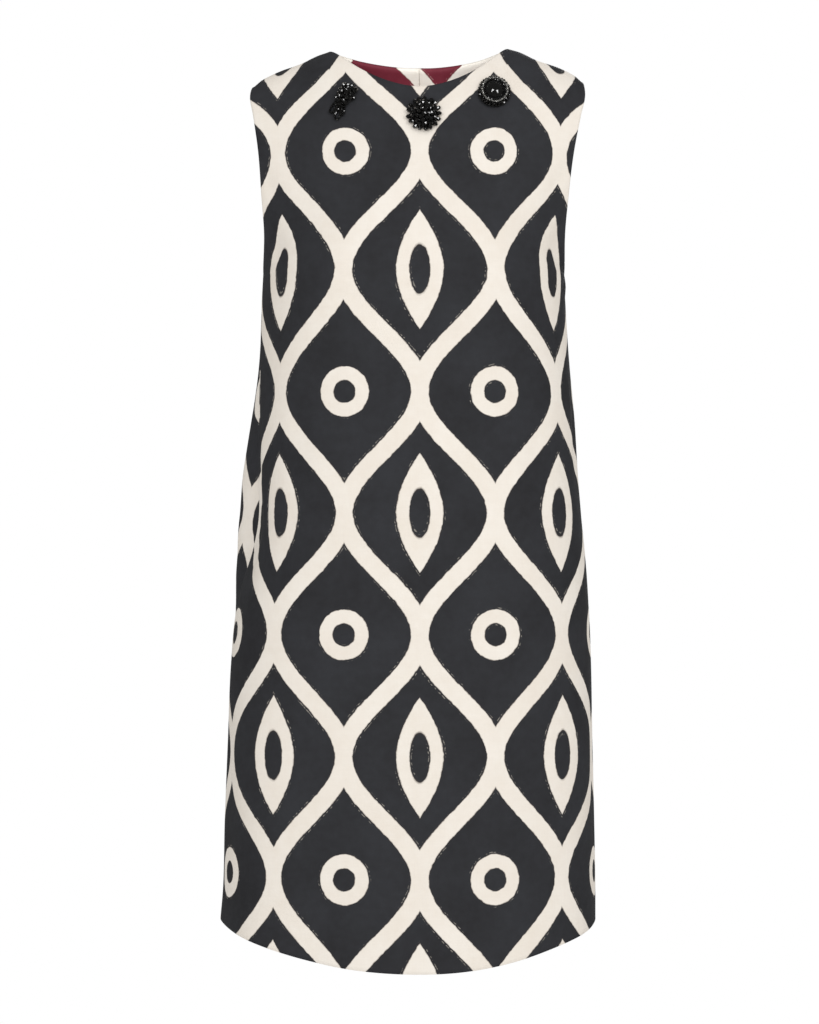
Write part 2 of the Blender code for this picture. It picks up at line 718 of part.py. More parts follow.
def spread_beads(build, patch, place, size, lean, dome, count, radius):
    """Beads packed evenly over a domed oval, each turned to point outwards."""
    turn = math.radians(lean)
    for bead in range(count):
        share = math.sqrt((bead + 0.5) / count)
        angle = bead * GOLDEN_ANGLE
        long_x = size[0] * share * math.cos(angle)
        long_z = size[1] * share * math.sin(angle)
        x = place[0] + long_x * math.cos(turn) - long_z * math.sin(turn)
        z = place[1] + long_x * math.sin(turn) + long_z * math.cos(turn)
        lift = SEAT_GAP + PAD_WALL + dome * (1.0 - share ** 2) + BEAD_PROUD * radius
        lift = max(lift, SEAT_GAP + radius)
        outward = Matrix.Rotation(math.atan2(z - place[1], x - place[0]), 4, "Z")
        frame = seat_frame(patch, x, z, lift) @ outward
        bead_into(build, frame, radius, BEAD_STRETCH, bead * BEAD_SPIN)


def build_centre_beads(patch, collection, cutters, jet):
    """The round domed cluster below the middle of the neckline."""
    size = (CENTRE_RADIUS, CENTRE_RADIUS)
    pad = pad_mesh("beads_centre", patch, CENTRE_PLACE, size, 0.0, CENTRE_DOME)
    cluster = new_object("beads_centre", pad, collection, jet)
    beads = bmesh.new()
    spread_beads(
        beads, patch, CENTRE_PLACE, size, 0.0, CENTRE_DOME, CENTRE_BEADS, CENTRE_BEAD_RADIUS)
    join_solids(cluster, new_cutter("centre_beads", mesh_from(beads, "centre_beads"), cutters))


def build_left_beads(patch, collection, cutters, jet):
    """The long cluster with loops of beads hanging from its lower end."""
    pad = pad_mesh("beads_left", patch, LEFT_PLACE, LEFT_SIZE, LEFT_LEAN, LEFT_DOME)
    cluster = new_object("beads_left", pad, collection, jet)
    beads = bmesh.new()
    spread_beads(
        beads, patch, LEFT_PLACE, LEFT_SIZE, LEFT_LEAN, LEFT_DOME, LEFT_BEADS, LEFT_BEAD_RADIUS)
    join_solids(cluster, new_cutter("left_beads", mesh_from(beads, "left_beads"), cutters))
    for number, (along_x, along_z, half_width, half_length, lean) in enumerate(LOOPS):
        bpy.ops.mesh.primitive_torus_add(
            major_segments=14, minor_segments=6, major_radius=half_width * MM,
            minor_radius=LOOP_WIRE * MM)
        loop = bpy.context.object
        loop.name = f"left_loop_{number}"
        stretch = half_length / half_width
        for point in loop.data.vertices:
            far = math.hypot(point.co.x, point.co.y)
            middle = Vector((point.co.x, point.co.y, 0.0)) * (half_width * MM / far)
            point.co += Vector((0.0, middle.y * (stretch - 1.0), 0.0))
        x, z = LEFT_PLACE[0] + along_x, LEFT_PLACE[1] + along_z
        frame = seat_frame(patch, x, z, SEAT_GAP + LOOP_WIRE)
        loop.matrix_world = frame @ Matrix.Rotation(math.radians(-lean), 4, "Z")
        for home in loop.users_collection:
            home.objects.unlink(loop)
        cutters.objects.link(loop)
        loop.hide_render = True
        loop.display_type = "WIRE"
        join_solids(cluster, loop)


def build_right_beads(patch, collection, cutters, jet):
    """The medallion: a large cut stone in a rim of beads."""
    size = (RIGHT_RADIUS, RIGHT_RADIUS)
    pad = pad_mesh("beads_right", patch, RIGHT_PLACE, size, 0.0, RIGHT_DOME)
    medallion = new_object("beads_right", pad, collection, jet)
    parts = bmesh.new()
    for bead in range(RIM_BEADS):
        angle = 2.0 * math.pi * bead / RIM_BEADS
        x = RIGHT_PLACE[0] + RIM_RADIUS * math.cos(angle)
        z = RIGHT_PLACE[1] + RIM_RADIUS * math.sin(angle)
        frame = seat_frame(patch, x, z, SEAT_GAP + RIM_BEAD_RADIUS)
        bead_into(
            parts, frame @ Matrix.Rotation(angle, 4, "Z"), RIM_BEAD_RADIUS, 1.0, bead * BEAD_SPIN)
    stone_frame = seat_frame(patch, *RIGHT_PLACE, SEAT_GAP + PAD_WALL + STONE_HEIGHT / 2.0)
    bmesh.ops.create_cone(
        parts, cap_ends=True, segments=STONE_SIDES, radius1=STONE_RADIUS * MM,
        radius2=STONE_TABLE * MM, depth=STONE_HEIGHT * MM, matrix=stone_frame)
    join_solids(medallion, new_cutter("right_beads", mesh_from(parts, "right_beads"), cutters))


# ---------------------------------------------------------------- the whole dress

def clear_scene():
    """Remove every object of the scene."""
    for thing in list(bpy.data.objects):
        bpy.data.objects.remove(thing, do_unlink=True)


def new_collection(name):
    """A collection in the scene."""
    collection = bpy.data.collections.new(name)
    bpy.context.scene.collection.children.link(collection)
    return collection


def main():
    """Build the dress."""
    clear_scene()
    dress = new_collection("shift_dress")
    cutters = new_collection("cutters")
    cloth = new_material("cloth", (0.30, 0.29, 0.28), 0.75)
    lining = new_material("lining", (0.24, 0.05, 0.08), 0.55)
    tape = new_material("tape", (0.03, 0.03, 0.03), 0.80)
    jet = new_material("jet", (0.01, 0.01, 0.01), 0.08)
    metal = new_material("metal", (0.10, 0.10, 0.11), 0.35, 1.0)
    back, back_normals = build_panels(dress, cloth)
    build_lining(back, back_normals, dress, lining)
    build_zip_tape(back, back_normals, dress, tape)
    frame = slider_frame()
    build_slider(frame, dress, cutters, metal)
    build_pull(frame, dress, metal)
    patch = Patch(FRONT, np.linspace(-0.95, 0.95, 161), np.linspace(1.45, 1.99, 60))
    build_centre_beads(patch, dress, cutters, jet)
    build_left_beads(patch, dress, cutters, jet)
    build_right_beads(patch, dress, cutters, jet)


main()
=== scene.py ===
"""Looks of a sleeveless A-line shift dress, standing open as a wearer holds it.

Every length is in millimetres until a mesh is made. +X is the viewer's right, the front faces -Y
and Z is up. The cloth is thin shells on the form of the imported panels, with finer creases.
"""

import math
import random

import bmesh
import bpy
import numpy as np
from mathutils import Matrix, Vector


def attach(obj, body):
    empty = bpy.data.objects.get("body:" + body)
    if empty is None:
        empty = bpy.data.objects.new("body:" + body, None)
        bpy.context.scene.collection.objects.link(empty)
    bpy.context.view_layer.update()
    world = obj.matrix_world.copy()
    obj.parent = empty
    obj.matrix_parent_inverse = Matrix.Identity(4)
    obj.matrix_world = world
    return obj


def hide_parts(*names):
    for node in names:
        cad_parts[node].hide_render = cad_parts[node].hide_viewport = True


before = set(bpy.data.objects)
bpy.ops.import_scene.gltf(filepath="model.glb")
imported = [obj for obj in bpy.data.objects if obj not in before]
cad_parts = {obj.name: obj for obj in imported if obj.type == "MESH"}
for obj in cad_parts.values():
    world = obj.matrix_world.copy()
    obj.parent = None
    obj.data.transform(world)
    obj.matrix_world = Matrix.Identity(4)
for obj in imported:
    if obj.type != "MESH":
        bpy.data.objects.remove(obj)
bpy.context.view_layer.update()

MM = 0.001
LEFT, RIGHT = -1, 1
FRONT, BACK = -1, 1

# Cloth
WALL = 1.6
EDGE_ROLL = 0.5
SEAT_GAP = 0.4

# Heights on the centre line, and the rise of the hem towards the side seams
HEM_Z = -904
UNDERARM_Z = -222
HEM_RISE = 40
HEM_RISE_REACH = 300
RISE_POWER = 2.1
HEM_ALLOWANCE = 38
HEM_STEP = 0.5
HEM_STEP_WIDTH = 3

# Shoulders, their ridge and the neckline's oval
SHOULDER_X = {LEFT: 166, RIGHT: 163.5}
NECK_SHARE = 0.548
NECK_END = NECK_SHARE - 1e-6
NECK_DEPTH = {FRONT: 62, BACK: 60}
NECK_CENTRE_Z = {FRONT: -40, BACK: -9}
NAPE_RISE = 35
NAPE_SPREAD = 1.6
RIDGE = np.array((
    # from the centre line, height on the left, height on the right
    (0, 13, 13),
    (30, 12.5, 12.5),
    (60, 9, 9.4),
    (91, 3, 5.4),
    (115, -9.7, -6.7),
    (140, -19, -15.5),
    (170, -34, -31),
))
ARMHOLE_REACH = {FRONT: 52, BACK: 56}

# Cross sections of the figure: height, depth of front and back, squareness (2 is an ellipse)
DEPTH_COLUMN = {FRONT: 1, BACK: 2}
SQUARE_COLUMN = 3
SECTIONS = np.array((
    (-903, 135, 130, 2.3),
    (-780, 129, 125, 2.3),
    (-650, 123, 118, 2.35),
    (-540, 117, 111, 2.4),
    (-450, 113, 99, 2.4),
    (-380, 111, 93, 2.4),
    (-310, 112, 92, 2.4),
    (-225, 115, 97, 2.45),
    (-180, 110, 100, 2.4),
    (-130, 97, 97, 2.3),
    (-90, 84, 88, 2.2),
))

# Side seams and armhole edges: height, distance from the centre line on the left and the right
SIDE_COLUMN = {LEFT: 1, RIGHT: 2}
SIDE_SEAMS = np.array((
    (-866, 199, 175.5),
    (-840, 196.6, 175.5),
    (-767, 194.5, 174.5),
    (-687, 191.5, 172.8),
    (-607, 188, 171.2),
    (-560, 183.5, 169.3),
    (-527, 176, 166.8),
    (-500, 167.5, 164.5),
    (-470, 161.5, 162),
    (-420, 161, 158),
    (-367, 160.5, 154.8),
    (-310, 159.5, 149.5),
    (-250, 157.5, 145.6),
    (-222, 156, 144.5),
))
ARMHOLES = np.array((
    (-222, 156, 144.5),
    (-187, 154, 144),
    (-147, 156.4, 147.2),
    (-107, 159.3, 152.1),
    (-67, 165, 159.8),
    (-45, 168.6, 164.6),
    (-28, 165.5, 163.5),
))

# Folds, pushed along the cloth's normal. A row runs from one place to another; a place is a
# share of the panel's half width and a height. It stands start, peak and end high, with the
# peak at a share of its length, and fades over its spread to each side.
RELIEF_REACH = 250
FOLDS = (
    # panel, from, to, spread, start, peak, end, peak at
    (FRONT, (-0.4, -250), (-0.38, -215), 60, 4, 6, 4, 0.5),
    (FRONT, (0.4, -250), (0.38, -215), 60, 4, 6, 4, 0.5),
    (FRONT, (-0.98, -178), (-0.66, -220), 14, -2.6, -2.2, 0, 0.4),
    (FRONT, (0.98, -180), (0.66, -222), 14, -2.6, -2.2, 0, 0.4),
    (FRONT, (-0.9, -340), (-0.82, -600), 22, 0, -4, 0, 0.6),
    (FRONT, (-0.62, -600), (-0.66, -903), 34, 0, 3, 5, 0.5),
    (FRONT, (0.66, -560), (0.7, -903), 34, 0, 2.5, 4.5, 0.5),
    (BACK, (-0.85, -270), (-0.86, -590), 24, 2, 25, 0, 0.62),
    (BACK, (0.84, -380), (0.84, -640), 26, 0, 5, 0, 0.5),
    (BACK, (-0.44, -180), (-0.44, -140), 55, 3, 3.5, 3, 0.5),
    (BACK, (0.44, -180), (0.44, -140), 55, 3, 3.5, 3, 0.5),
    (BACK, (-0.46, -540), (-0.52, -903), 36, 0, 4, 7, 0.5),
    (BACK, (0.4, -520), (0.48, -903), 36, 0, 4, 6, 0.5),
    (BACK, (0, -330), (0, -440), 40, 0, -4, 0, 0.5),
)
CREASES = (
    # panel, from, to, spread, start, peak, end, peak at
    (FRONT, (-0.78, -14), (-0.56, -44), 7, -0.4, -1.4, 0, 0.4),
    (FRONT, (-0.66, -8), (-0.58, -30), 4, 0.5, 0.9, 0, 0.4),
    (FRONT, (0.76, -12), (0.58, -38), 7, -0.4, -1.3, 0, 0.4),
    (FRONT, (-0.97, -130), (-0.74, -176), 9, -1, -1.6, 0, 0.3),
    (FRONT, (0.97, -120), (0.72, -172), 9, -0.8, -1.5, 0, 0.35),
    (FRONT, (-0.97, -196), (-0.62, -230), 6, 2.4, 2.2, 0, 0.3),
    (FRONT, (0.95, -200), (0.93, -252), 5, -1.6, -4.2, 0, 0.45),
    (FRONT, (0.99, -210), (0.8, -262), 5, 1, 1.6, 0, 0.3),
    (FRONT, (-0.94, -262), (-0.94, -540), 6, -1.5, -4.2, 0, 0.4),
    (FRONT, (-0.84, -330), (-0.8, -560), 9, 0, 1.8, 0, 0.55),
    (FRONT, (-0.52, -300), (-0.6, -560), 17, 0, -1.5, 0, 0.35),
    (FRONT, (0.5, -290), (0.62, -600), 18, 0, -1.6, 0, 0.4),
    (FRONT, (0.9, -300), (0.84, -470), 9, 0, -1.8, 0, 0.5),
    (FRONT, (-0.2, -420), (-0.28, -760), 24, 0, 1.2, 0, 0.4),
    (FRONT, (0.16, -520), (0.24, -890), 22, 0, -1.3, -1, 0.6),
    (FRONT, (-0.9, -600), (-0.82, -840), 16, 0, -2, 0, 0.5),
    (FRONT, (0.92, -590), (0.86, -830), 14, 0, -1.8, 0, 0.5),
    (FRONT, (-0.36, -700), (-0.38, -903), 20, 0, -1.4, -2.2, 0.6),
    (BACK, (-0.78, -14), (-0.56, -40), 7, -0.4, -1.2, 0, 0.4),
    (BACK, (0.76, -12), (0.6, -36), 7, -0.4, -1.1, 0, 0.4),
    (BACK, (-0.97, -150), (-0.7, -186), 10, -1, -1.8, 0, 0.3),
    (BACK, (0.97, -140), (0.68, -190), 10, -1, -1.6, 0, 0.3),
    (BACK, (-0.1, -300), (-0.55, -352), 11, 0, -2, 0, 0.4),
    (BACK, (0.08, -318), (0.5, -362), 10, 0, -1.8, 0, 0.45),
    (BACK, (-0.12, -370), (-0.48, -396), 9, 0, -1.5, 0, 0.4),
    (BACK, (0.7, -300), (0.62, -520), 15, 0, -2, 0, 0.5),
    (BACK, (-0.6, -330), (-0.66, -560), 13, 0, -2.4, 0, 0.5),
    (BACK, (-0.24, -560), (-0.26, -890), 24, 0, -1.6, -2, 0.6),
    (BACK, (0.2, -600), (0.24, -903), 22, 0, -1.5, -2.2, 0.6),
    (BACK, (0.72, -660), (0.8, -903), 18, 0, -2, -3, 0.7),
    (BACK, (-0.78, -640), (-0.8, -903), 18, 0, -2.2, -3, 0.7),
)
SEAM_FADE = 0.07
TOP_FADE = 0.1

# Stitched seams sink a little: depth and half width. Corners of the shoulder seams are rounded:
# drop, width and depth, from a little below the seam.
SIDE_SINK = (1.1, 4)
SIDE_SINK_FADE = 0.03
SHOULDER_SINK = (0.5, 3)
NECK_ROUNDING = (2.8, 10, 20)
TIP_ROUNDING = (3.4, 5.5, 16)
ROUNDING_BELOW = 30

# Settling of the flat cut: rounds, and the share of each stretch taken up in a round
SETTLE_STEPS = 500
SETTLE_SHARE = 0.12

# Grid of the cloth, about 3 mm by 4 mm
NECK_STEPS = 44
SHOULDER_STEPS = 34
BODY_STEPS = 150
CHEST_STEPS = 66

# Above this row the cloth leaves the body's rounded rectangles and turns over to the shoulders:
# how strongly it leaves and arrives, and how its pull towards the armhole's edge grows
TURN = 1.5
LEAVE = 1.2
LEAVE_STEP = 0.02
ARRIVE = 0.8
EDGE_PULL = 5
DENSE = 480
NECK_HALVINGS = 24
BESIDE_SEAM_STEPS = 12

# Back neck lining and zip
LINING_WALL = 0.8
LINING_FOOT = 1.58
LINING_DEPTH = 3.1
LINING_TOP_DEPTH = 1.4
LINING_EASE = 16
LINING_TURN = 3
LINING_SET_DOWN = 0.6
LINING_SPLIT = 0.3
ZIP_FOOT_Z = -470
ZIP_TAPE_SET_DOWN = 3
TAPE_DEPTH = 1.9
TAPE_WALL = 0.55
TAPE_PLACES = (0.35, 3, 6, 9, 11.6)
TOOTH_PITCH = 1.8
TOOTH_SIZE = (1.7, 0.5, 0.75)
TOOTH_OFFSET = 0.45
SLIDER_BELOW_NECK = 13
SLIDER_PLATE = (
    # outline, seen from behind: square shoulders and a narrower foot
    (-3.5, 2.475), (-2.52, 4.5), (2.52, 4.5), (3.5, 2.475),
    (3.22, -0.45), (1.9, -4.5), (-1.9, -4.5), (-3.22, -0.45),
)
SLIDER_DEPTH = 1.4
SLIDER_BEVEL = 0.28
SLIDER_SMOOTH = 35
BRIDGE_WIDTH = 1.6
# Half of the bridge from the side: place along the seam, distance from the cloth
BRIDGE_OUTSIDE = ((-2.05, 1.2), (-2.05, 3.85), (-1.3, 4.75))
BRIDGE_INSIDE = ((-1, 1.2), (-1, 3.6), (-0.7, 3.85))
HINGE_HEIGHT = 2.9
PULL_HEAD = 2.5
PULL_HEAD_BAR = 1.1
PULL_CORNER = 0.8
PULL_STEPS = (4, 14)
PULL_EYE = (1.4, 3.2)
PULL_FOOT_RADIUS = 3
PULL_LENGTH = 20
PULL_WALL = 1
PULL_LEVELS = (
    # grown outwards, share of the half thickness: the edge, the rim, the sunk field
    (0, 0.55), (-0.12, 0.85), (-0.35, 1), (-0.95, 1), (-1.15, 0.75),
)
PULL_TILT = 5
PULL_SMOOTH = 40

# Beaded ornaments. A bead's levels are shares of its half length and of its radius. Sizes,
# seats and strays are shares of a bead's radius or of its turn in the ring, drawn by chance.
GOLDEN_ANGLE = math.pi * (3 - math.sqrt(5))
BEAD_LEVELS = ((-1, 0.4), (-0.46, 0.95), (0.46, 0.95), (1, 0.4))
BEAD_SIDES = 7
BEAD_STRETCH = 1.75
BEAD_SIZES = (0.85, 1.12)
BEAD_SEATS = (0.3, 0.75)
BEAD_TIP = 0.9
FIRST_BEAD = 0.4
RING_STRAY = 0.15
RING_UNEVEN = 0.12
RING_RISE = 0.1
RING_TIPS = (1.1, 1.6)
RING_SIZES = (0.93, 1.07)
FELT = 1.1
FELT_RINGS = 6
FELT_SPOKES = 36
ORNAMENTS = {
    # middle, seed of the chance
    # felt: half sizes, lean, dome
    # ovals of beads: middle, half sizes, lean, dome, beads, radius
    # rings of beads: reach, lift, beads, radius, length
    "beads_centre": (
        (4, -70.5), 60, ((13.9, 13.9), 0, 6.5),
        (((4, -70.5), (12.8, 12.8), 0, 7.5, 34, 2.75),),
        ((14.8, 2.4, 17, 2.35, 5.6),)),
    "beads_left": (
        (-72, -50.5), 47, ((7.8, 11), -38, 3.5),
        (((-72, -50.5), (8.8, 12), -38, 4.5, 25, 2.45),
         ((-77.5, -58.5), (5.6, 4.6), -38, 1.5, 9, 1.9)),
        ()),
    "beads_right": (
        (73, -47), 37, ((13.9, 13.9), 0, 4.4), (),
        ((14.8, 1.9, 30, 1.55, 3),
         (13.4, 3.4, 30, 1.35, 2.6),
         (10.2, 5, 34, 1, 1.8))),
}
LOOP_BEAD = 2.1
LOOP_STEPS = 400
LOOP_SIDES = 6
LOOP_SIZES = (0.58, 0.66)
LOOP_LIFT = (1.3, 0.6)
LOOPS = (
    # middle, half sizes, lean
    ((-83.6, -62.7), (2.5, 6.8), -32),
    ((-79.4, -67.5), (2.9, 8), -14),
    ((-75.8, -64.9), (2.4, 6.4), -2),
    ((-81, -64.3), (1.8, 5.6), -24),
)
SEED_RING = (12, 5.7, 42, 1.05, 1.9)
STONE_TURN = 23.5
STONE_LEAN = 3.4
STONE_LIFT = 3.2
STONE_RADIUS = 9
STONE_RINGS = (
    # radius, height, corners, turned by how many corners
    (3.9, 6.4, 12, 0.5),
    (6.9, 5.14, 6, 0.5),
    (STONE_RADIUS, 2.4, 12, 1),
    (STONE_RADIUS, 0, 12, 1),
)

# Print: half the pitch between columns and half the height of a repeat
HALF_PITCH = 74
HALF_REPEAT = 118
OUTER_SHIFT = (0, 12)
LINING_SHIFT = (21, 63)
BAND = 17.5
LEAF = (23, 58)
LEAF_POWER = 1.8
LEAF_LEAN = 0.86
SEED = (10, 2.4)
RING = 24.5
DOT = 11
WAVER = 2.2
WAVER_SCALE = 0.16
PRINT_EDGE = 0.18
MOTTLE_SHARE = 0.45
MOTTLE_LEVELS = (0.52, 0.92)
THREAD = 0.5
THREAD_SHARE = 0.25
TAPE_RIB = 0.8
PRINT_NOISE = (
    # scale per millimetre, detail: clouds, mottling, gaps in the bare threads, their stretches
    (0.014, 4),
    (0.12, 5),
    (0.28, 2),
    (0.022, 1),
)


# ---- tables and small helpers

def smooth_step(value):
    """Ease from 0 to 1."""
    value = np.clip(value, 0, 1)
    return value * value * (3 - 2 * value)


def hermite(part, start, end, leave, arrive):
    """A smooth curve from start to end that leaves and arrives along given slopes."""
    rest = 1 - part
    return ((1 + 2 * part) * rest ** 2 * start + part ** 2 * (3 - 2 * part) * end
            + part * rest ** 2 * leave - part ** 2 * rest * arrive)


def from_table(table, column, height):
    """A table's column at a height, on a smooth curve through its rows."""
    knots, values = table[:, 0], table[:, column]
    slopes = np.gradient(values, knots)
    height = np.clip(height, knots[0], knots[-1])
    low = np.clip(np.searchsorted(knots, height) - 1, 0, len(knots) - 2)
    span = knots[low + 1] - knots[low]
    return hermite(
        (height - knots[low]) / span, values[low], values[low + 1],
        span * slopes[low], span * slopes[low + 1])


def lengths_along(points, axis=0):
    """How far each point lies along a path, or along each line of a grid."""
    steps = np.linalg.norm(np.diff(points, axis=axis), axis=-1)
    return np.insert(np.cumsum(steps, axis=axis), 0, 0, axis=axis)


def at_length(wanted, length, path):
    """Where a path is at a length, or at each of some lengths."""
    return np.stack([np.interp(wanted, length, path[:, k]) for k in range(3)], axis=-1)


def even_points(path, shares):
    """Points of a path at shares of its length."""
    length = lengths_along(path)
    return at_length(shares, length / length[-1], path)


def unit(vectors):
    """Vectors of length 1."""
    return vectors / np.linalg.norm(vectors, axis=-1, keepdims=True)


# ---- the surface of the cloth
# "across" is 0 on the centre line and -1 or 1 at the left or right edge of a panel.
# "up" is 0 at the hem, 1 at the underarm and 2 at the neckline and the shoulder seam.

def ridge_height(panel, side, reach):
    """Height of the shoulder's ridge at a distance from the centre line."""
    inside = 1 - np.minimum(reach / (NECK_SHARE * SHOULDER_X[side]), 1) ** NAPE_SPREAD
    nape = NAPE_RISE * inside if panel == BACK else 0
    return from_table(RIDGE, SIDE_COLUMN[side], reach) + nape


def edge_points(panel, side, up):
    """Ends of rows: on the side seam, or on the armhole's edge above the underarm."""
    up = np.atleast_1d(up)
    middle = HEM_Z + (UNDERARM_Z - HEM_Z) * up
    seam_z = middle + HEM_RISE * smooth_step(1 - (middle - HEM_Z) / HEM_RISE_REACH)
    share = np.clip(up - 1, 0, 1)
    turn = math.pi * share ** 2 * (2 - share)
    tip_z = ridge_height(FRONT, side, SHOULDER_X[side])
    arm_z = UNDERARM_Z + (tip_z - UNDERARM_Z) * (1 - np.cos(turn)) / 2
    below = up <= 1
    z = np.where(below, seam_z, arm_z)
    column = SIDE_COLUMN[side]
    x = np.where(below, from_table(SIDE_SEAMS, column, z), from_table(ARMHOLES, column, z))
    y = np.where(below, 0, panel * ARMHOLE_REACH[panel] * np.sin(turn))
    return np.stack((side * x, y, z), axis=-1)


def centre_point(panel, up):
    """The middle of a row, on the centre front or centre back line."""
    if up <= 1:
        z = HEM_Z + (UNDERARM_Z - HEM_Z) * up
    else:
        z = UNDERARM_Z + (NECK_CENTRE_Z[panel] - UNDERARM_Z) * (up - 1)
    depth = from_table(SECTIONS, DEPTH_COLUMN[panel], z)
    return np.array((0, panel * depth, z))


def body_points(panel, side, up, shares):
    """Places on one row of the body, which is part of a rounded rectangle."""
    centre = centre_point(panel, up)
    edge = edge_points(panel, side, up)[0]
    power = 2 / from_table(SECTIONS, SQUARE_COLUMN, centre[2])
    last = math.acos(min(1, abs(edge[1] / centre[1]) ** (1 / power)))
    turn = np.linspace(0, last, DENSE)
    reach = (np.sin(turn) / math.sin(last)) ** power
    path = np.stack((
        edge[0] * reach,
        centre[1] * np.abs(np.cos(turn)) ** power,
        centre[2] + (edge[2] - centre[2]) * reach ** RISE_POWER), axis=-1)
    return even_points(path, shares)


def shoulder_points(panel, side, up, shares):
    """Places above the chest, on curves that turn over to the shoulder's ridge."""
    shares = np.append(shares, 1)
    up = np.append(np.broadcast_to(up, len(shares) - 1), 2)
    part = ((up - TURN) / (2 - TURN))[:, None]
    start = body_points(panel, side, TURN, shares)
    reach = shares * SHOULDER_X[side]
    end = np.stack((side * reach, 0 * reach, ridge_height(panel, side, reach)), axis=-1)
    size = np.linalg.norm(end - start, axis=-1, keepdims=True)
    leave = LEAVE * size * unit(body_points(panel, side, TURN + LEAVE_STEP, shares) - start)
    arrive = ARRIVE * size * np.array((0, -panel, 0))
    points = hermite(part, start, end, leave, arrive)
    edge = hermite(part, start[-1], end[-1], leave[-1], arrive[-1])
    points += (edge_points(panel, side, up) - edge) * shares[:, None] ** EDGE_PULL
    return points[:-1]


def figure_points(panel, across, up):
    """Places on the figure: across from -1 to 1, and up the same or one for each place."""
    sides = []
    for side in (LEFT, RIGHT):
        shares = np.clip(side * across, 0, 1)
        if np.max(up) <= TURN:
            sides.append(body_points(panel, side, float(np.max(up)), shares))
        else:
            sides.append(shoulder_points(panel, side, up, shares))
    return np.where((across < 0)[:, None], sides[0], sides[1])


def neckline_up(panel, across):
    """How far up each column goes: to the neckline's oval, or 2 at the shoulder seam."""
    low = np.full(len(across), TURN)
    high = np.full(len(across), 2)
    width = NECK_SHARE * np.where(across < 0, SHOULDER_X[LEFT], SHOULDER_X[RIGHT])
    for _ in range(NECK_HALVINGS):
        middle = (low + high) / 2
        points = figure_points(panel, across, middle)
        outside = (points[:, 0] / width) ** 2 + (points[:, 1] / NECK_DEPTH[panel]) ** 2 > 1
        low = np.where(outside, middle, low)
        high = np.where(outside, high, middle)
    return np.where(np.abs(across) < NECK_END, low, 2)


def relief_height(table, panel, across, up, heights):
    """How far the folds of a table push the cloth out."""
    height = np.zeros_like(heights)
    for where, start, end, spread, first, peak, last, peak_at in table:
        if where != panel:
            continue
        origin = np.array((start[0] * RELIEF_REACH, start[1]))
        run = np.array((end[0] * RELIEF_REACH, end[1])) - origin
        place = np.stack((across * RELIEF_REACH, heights), axis=-1) - origin
        along = np.clip(place @ run / (run @ run), 0, 1)
        away = np.linalg.norm(place - along[..., None] * run, axis=-1)
        rising = first + (peak - first) * smooth_step(along / peak_at)
        falling = peak + (last - peak) * smooth_step((along - peak_at) / (1 - peak_at))
        height += np.where(along < peak_at, rising, falling) * np.exp(-(away / spread) ** 2)
    fade = smooth_step((1 - np.abs(across)) / SEAM_FADE) * smooth_step((2 - up) / TOP_FADE)
    return height * fade


def grid_normals(panel, points):
    """Outward normals of a grid of points."""
    along = np.gradient(points, axis=1)
    upward = np.gradient(points, axis=0)
    return unit(-panel * np.cross(along, upward))


# ---- cloth grids

ROWS = np.concatenate((
    np.linspace(0, 1, BODY_STEPS + 1),
    np.linspace(1, 2, CHEST_STEPS + 1)[1:]))
MIDDLE = NECK_STEPS + SHOULDER_STEPS


def row_places(up):
    """Places of the columns: even on the body, gathered at the neck points on the shoulders."""
    even = np.linspace(0, 1, MIDDLE + 1)
    neck = NECK_SHARE * np.sin(np.linspace(0, math.pi / 2, NECK_STEPS + 1))
    shoulder = np.linspace(NECK_SHARE, 1, SHOULDER_STEPS + 1)[1:]
    gathered = np.concatenate((neck, shoulder))
    half = even + (gathered - even) * smooth_step(up - 1)
    return np.concatenate((-half[:0:-1], half))


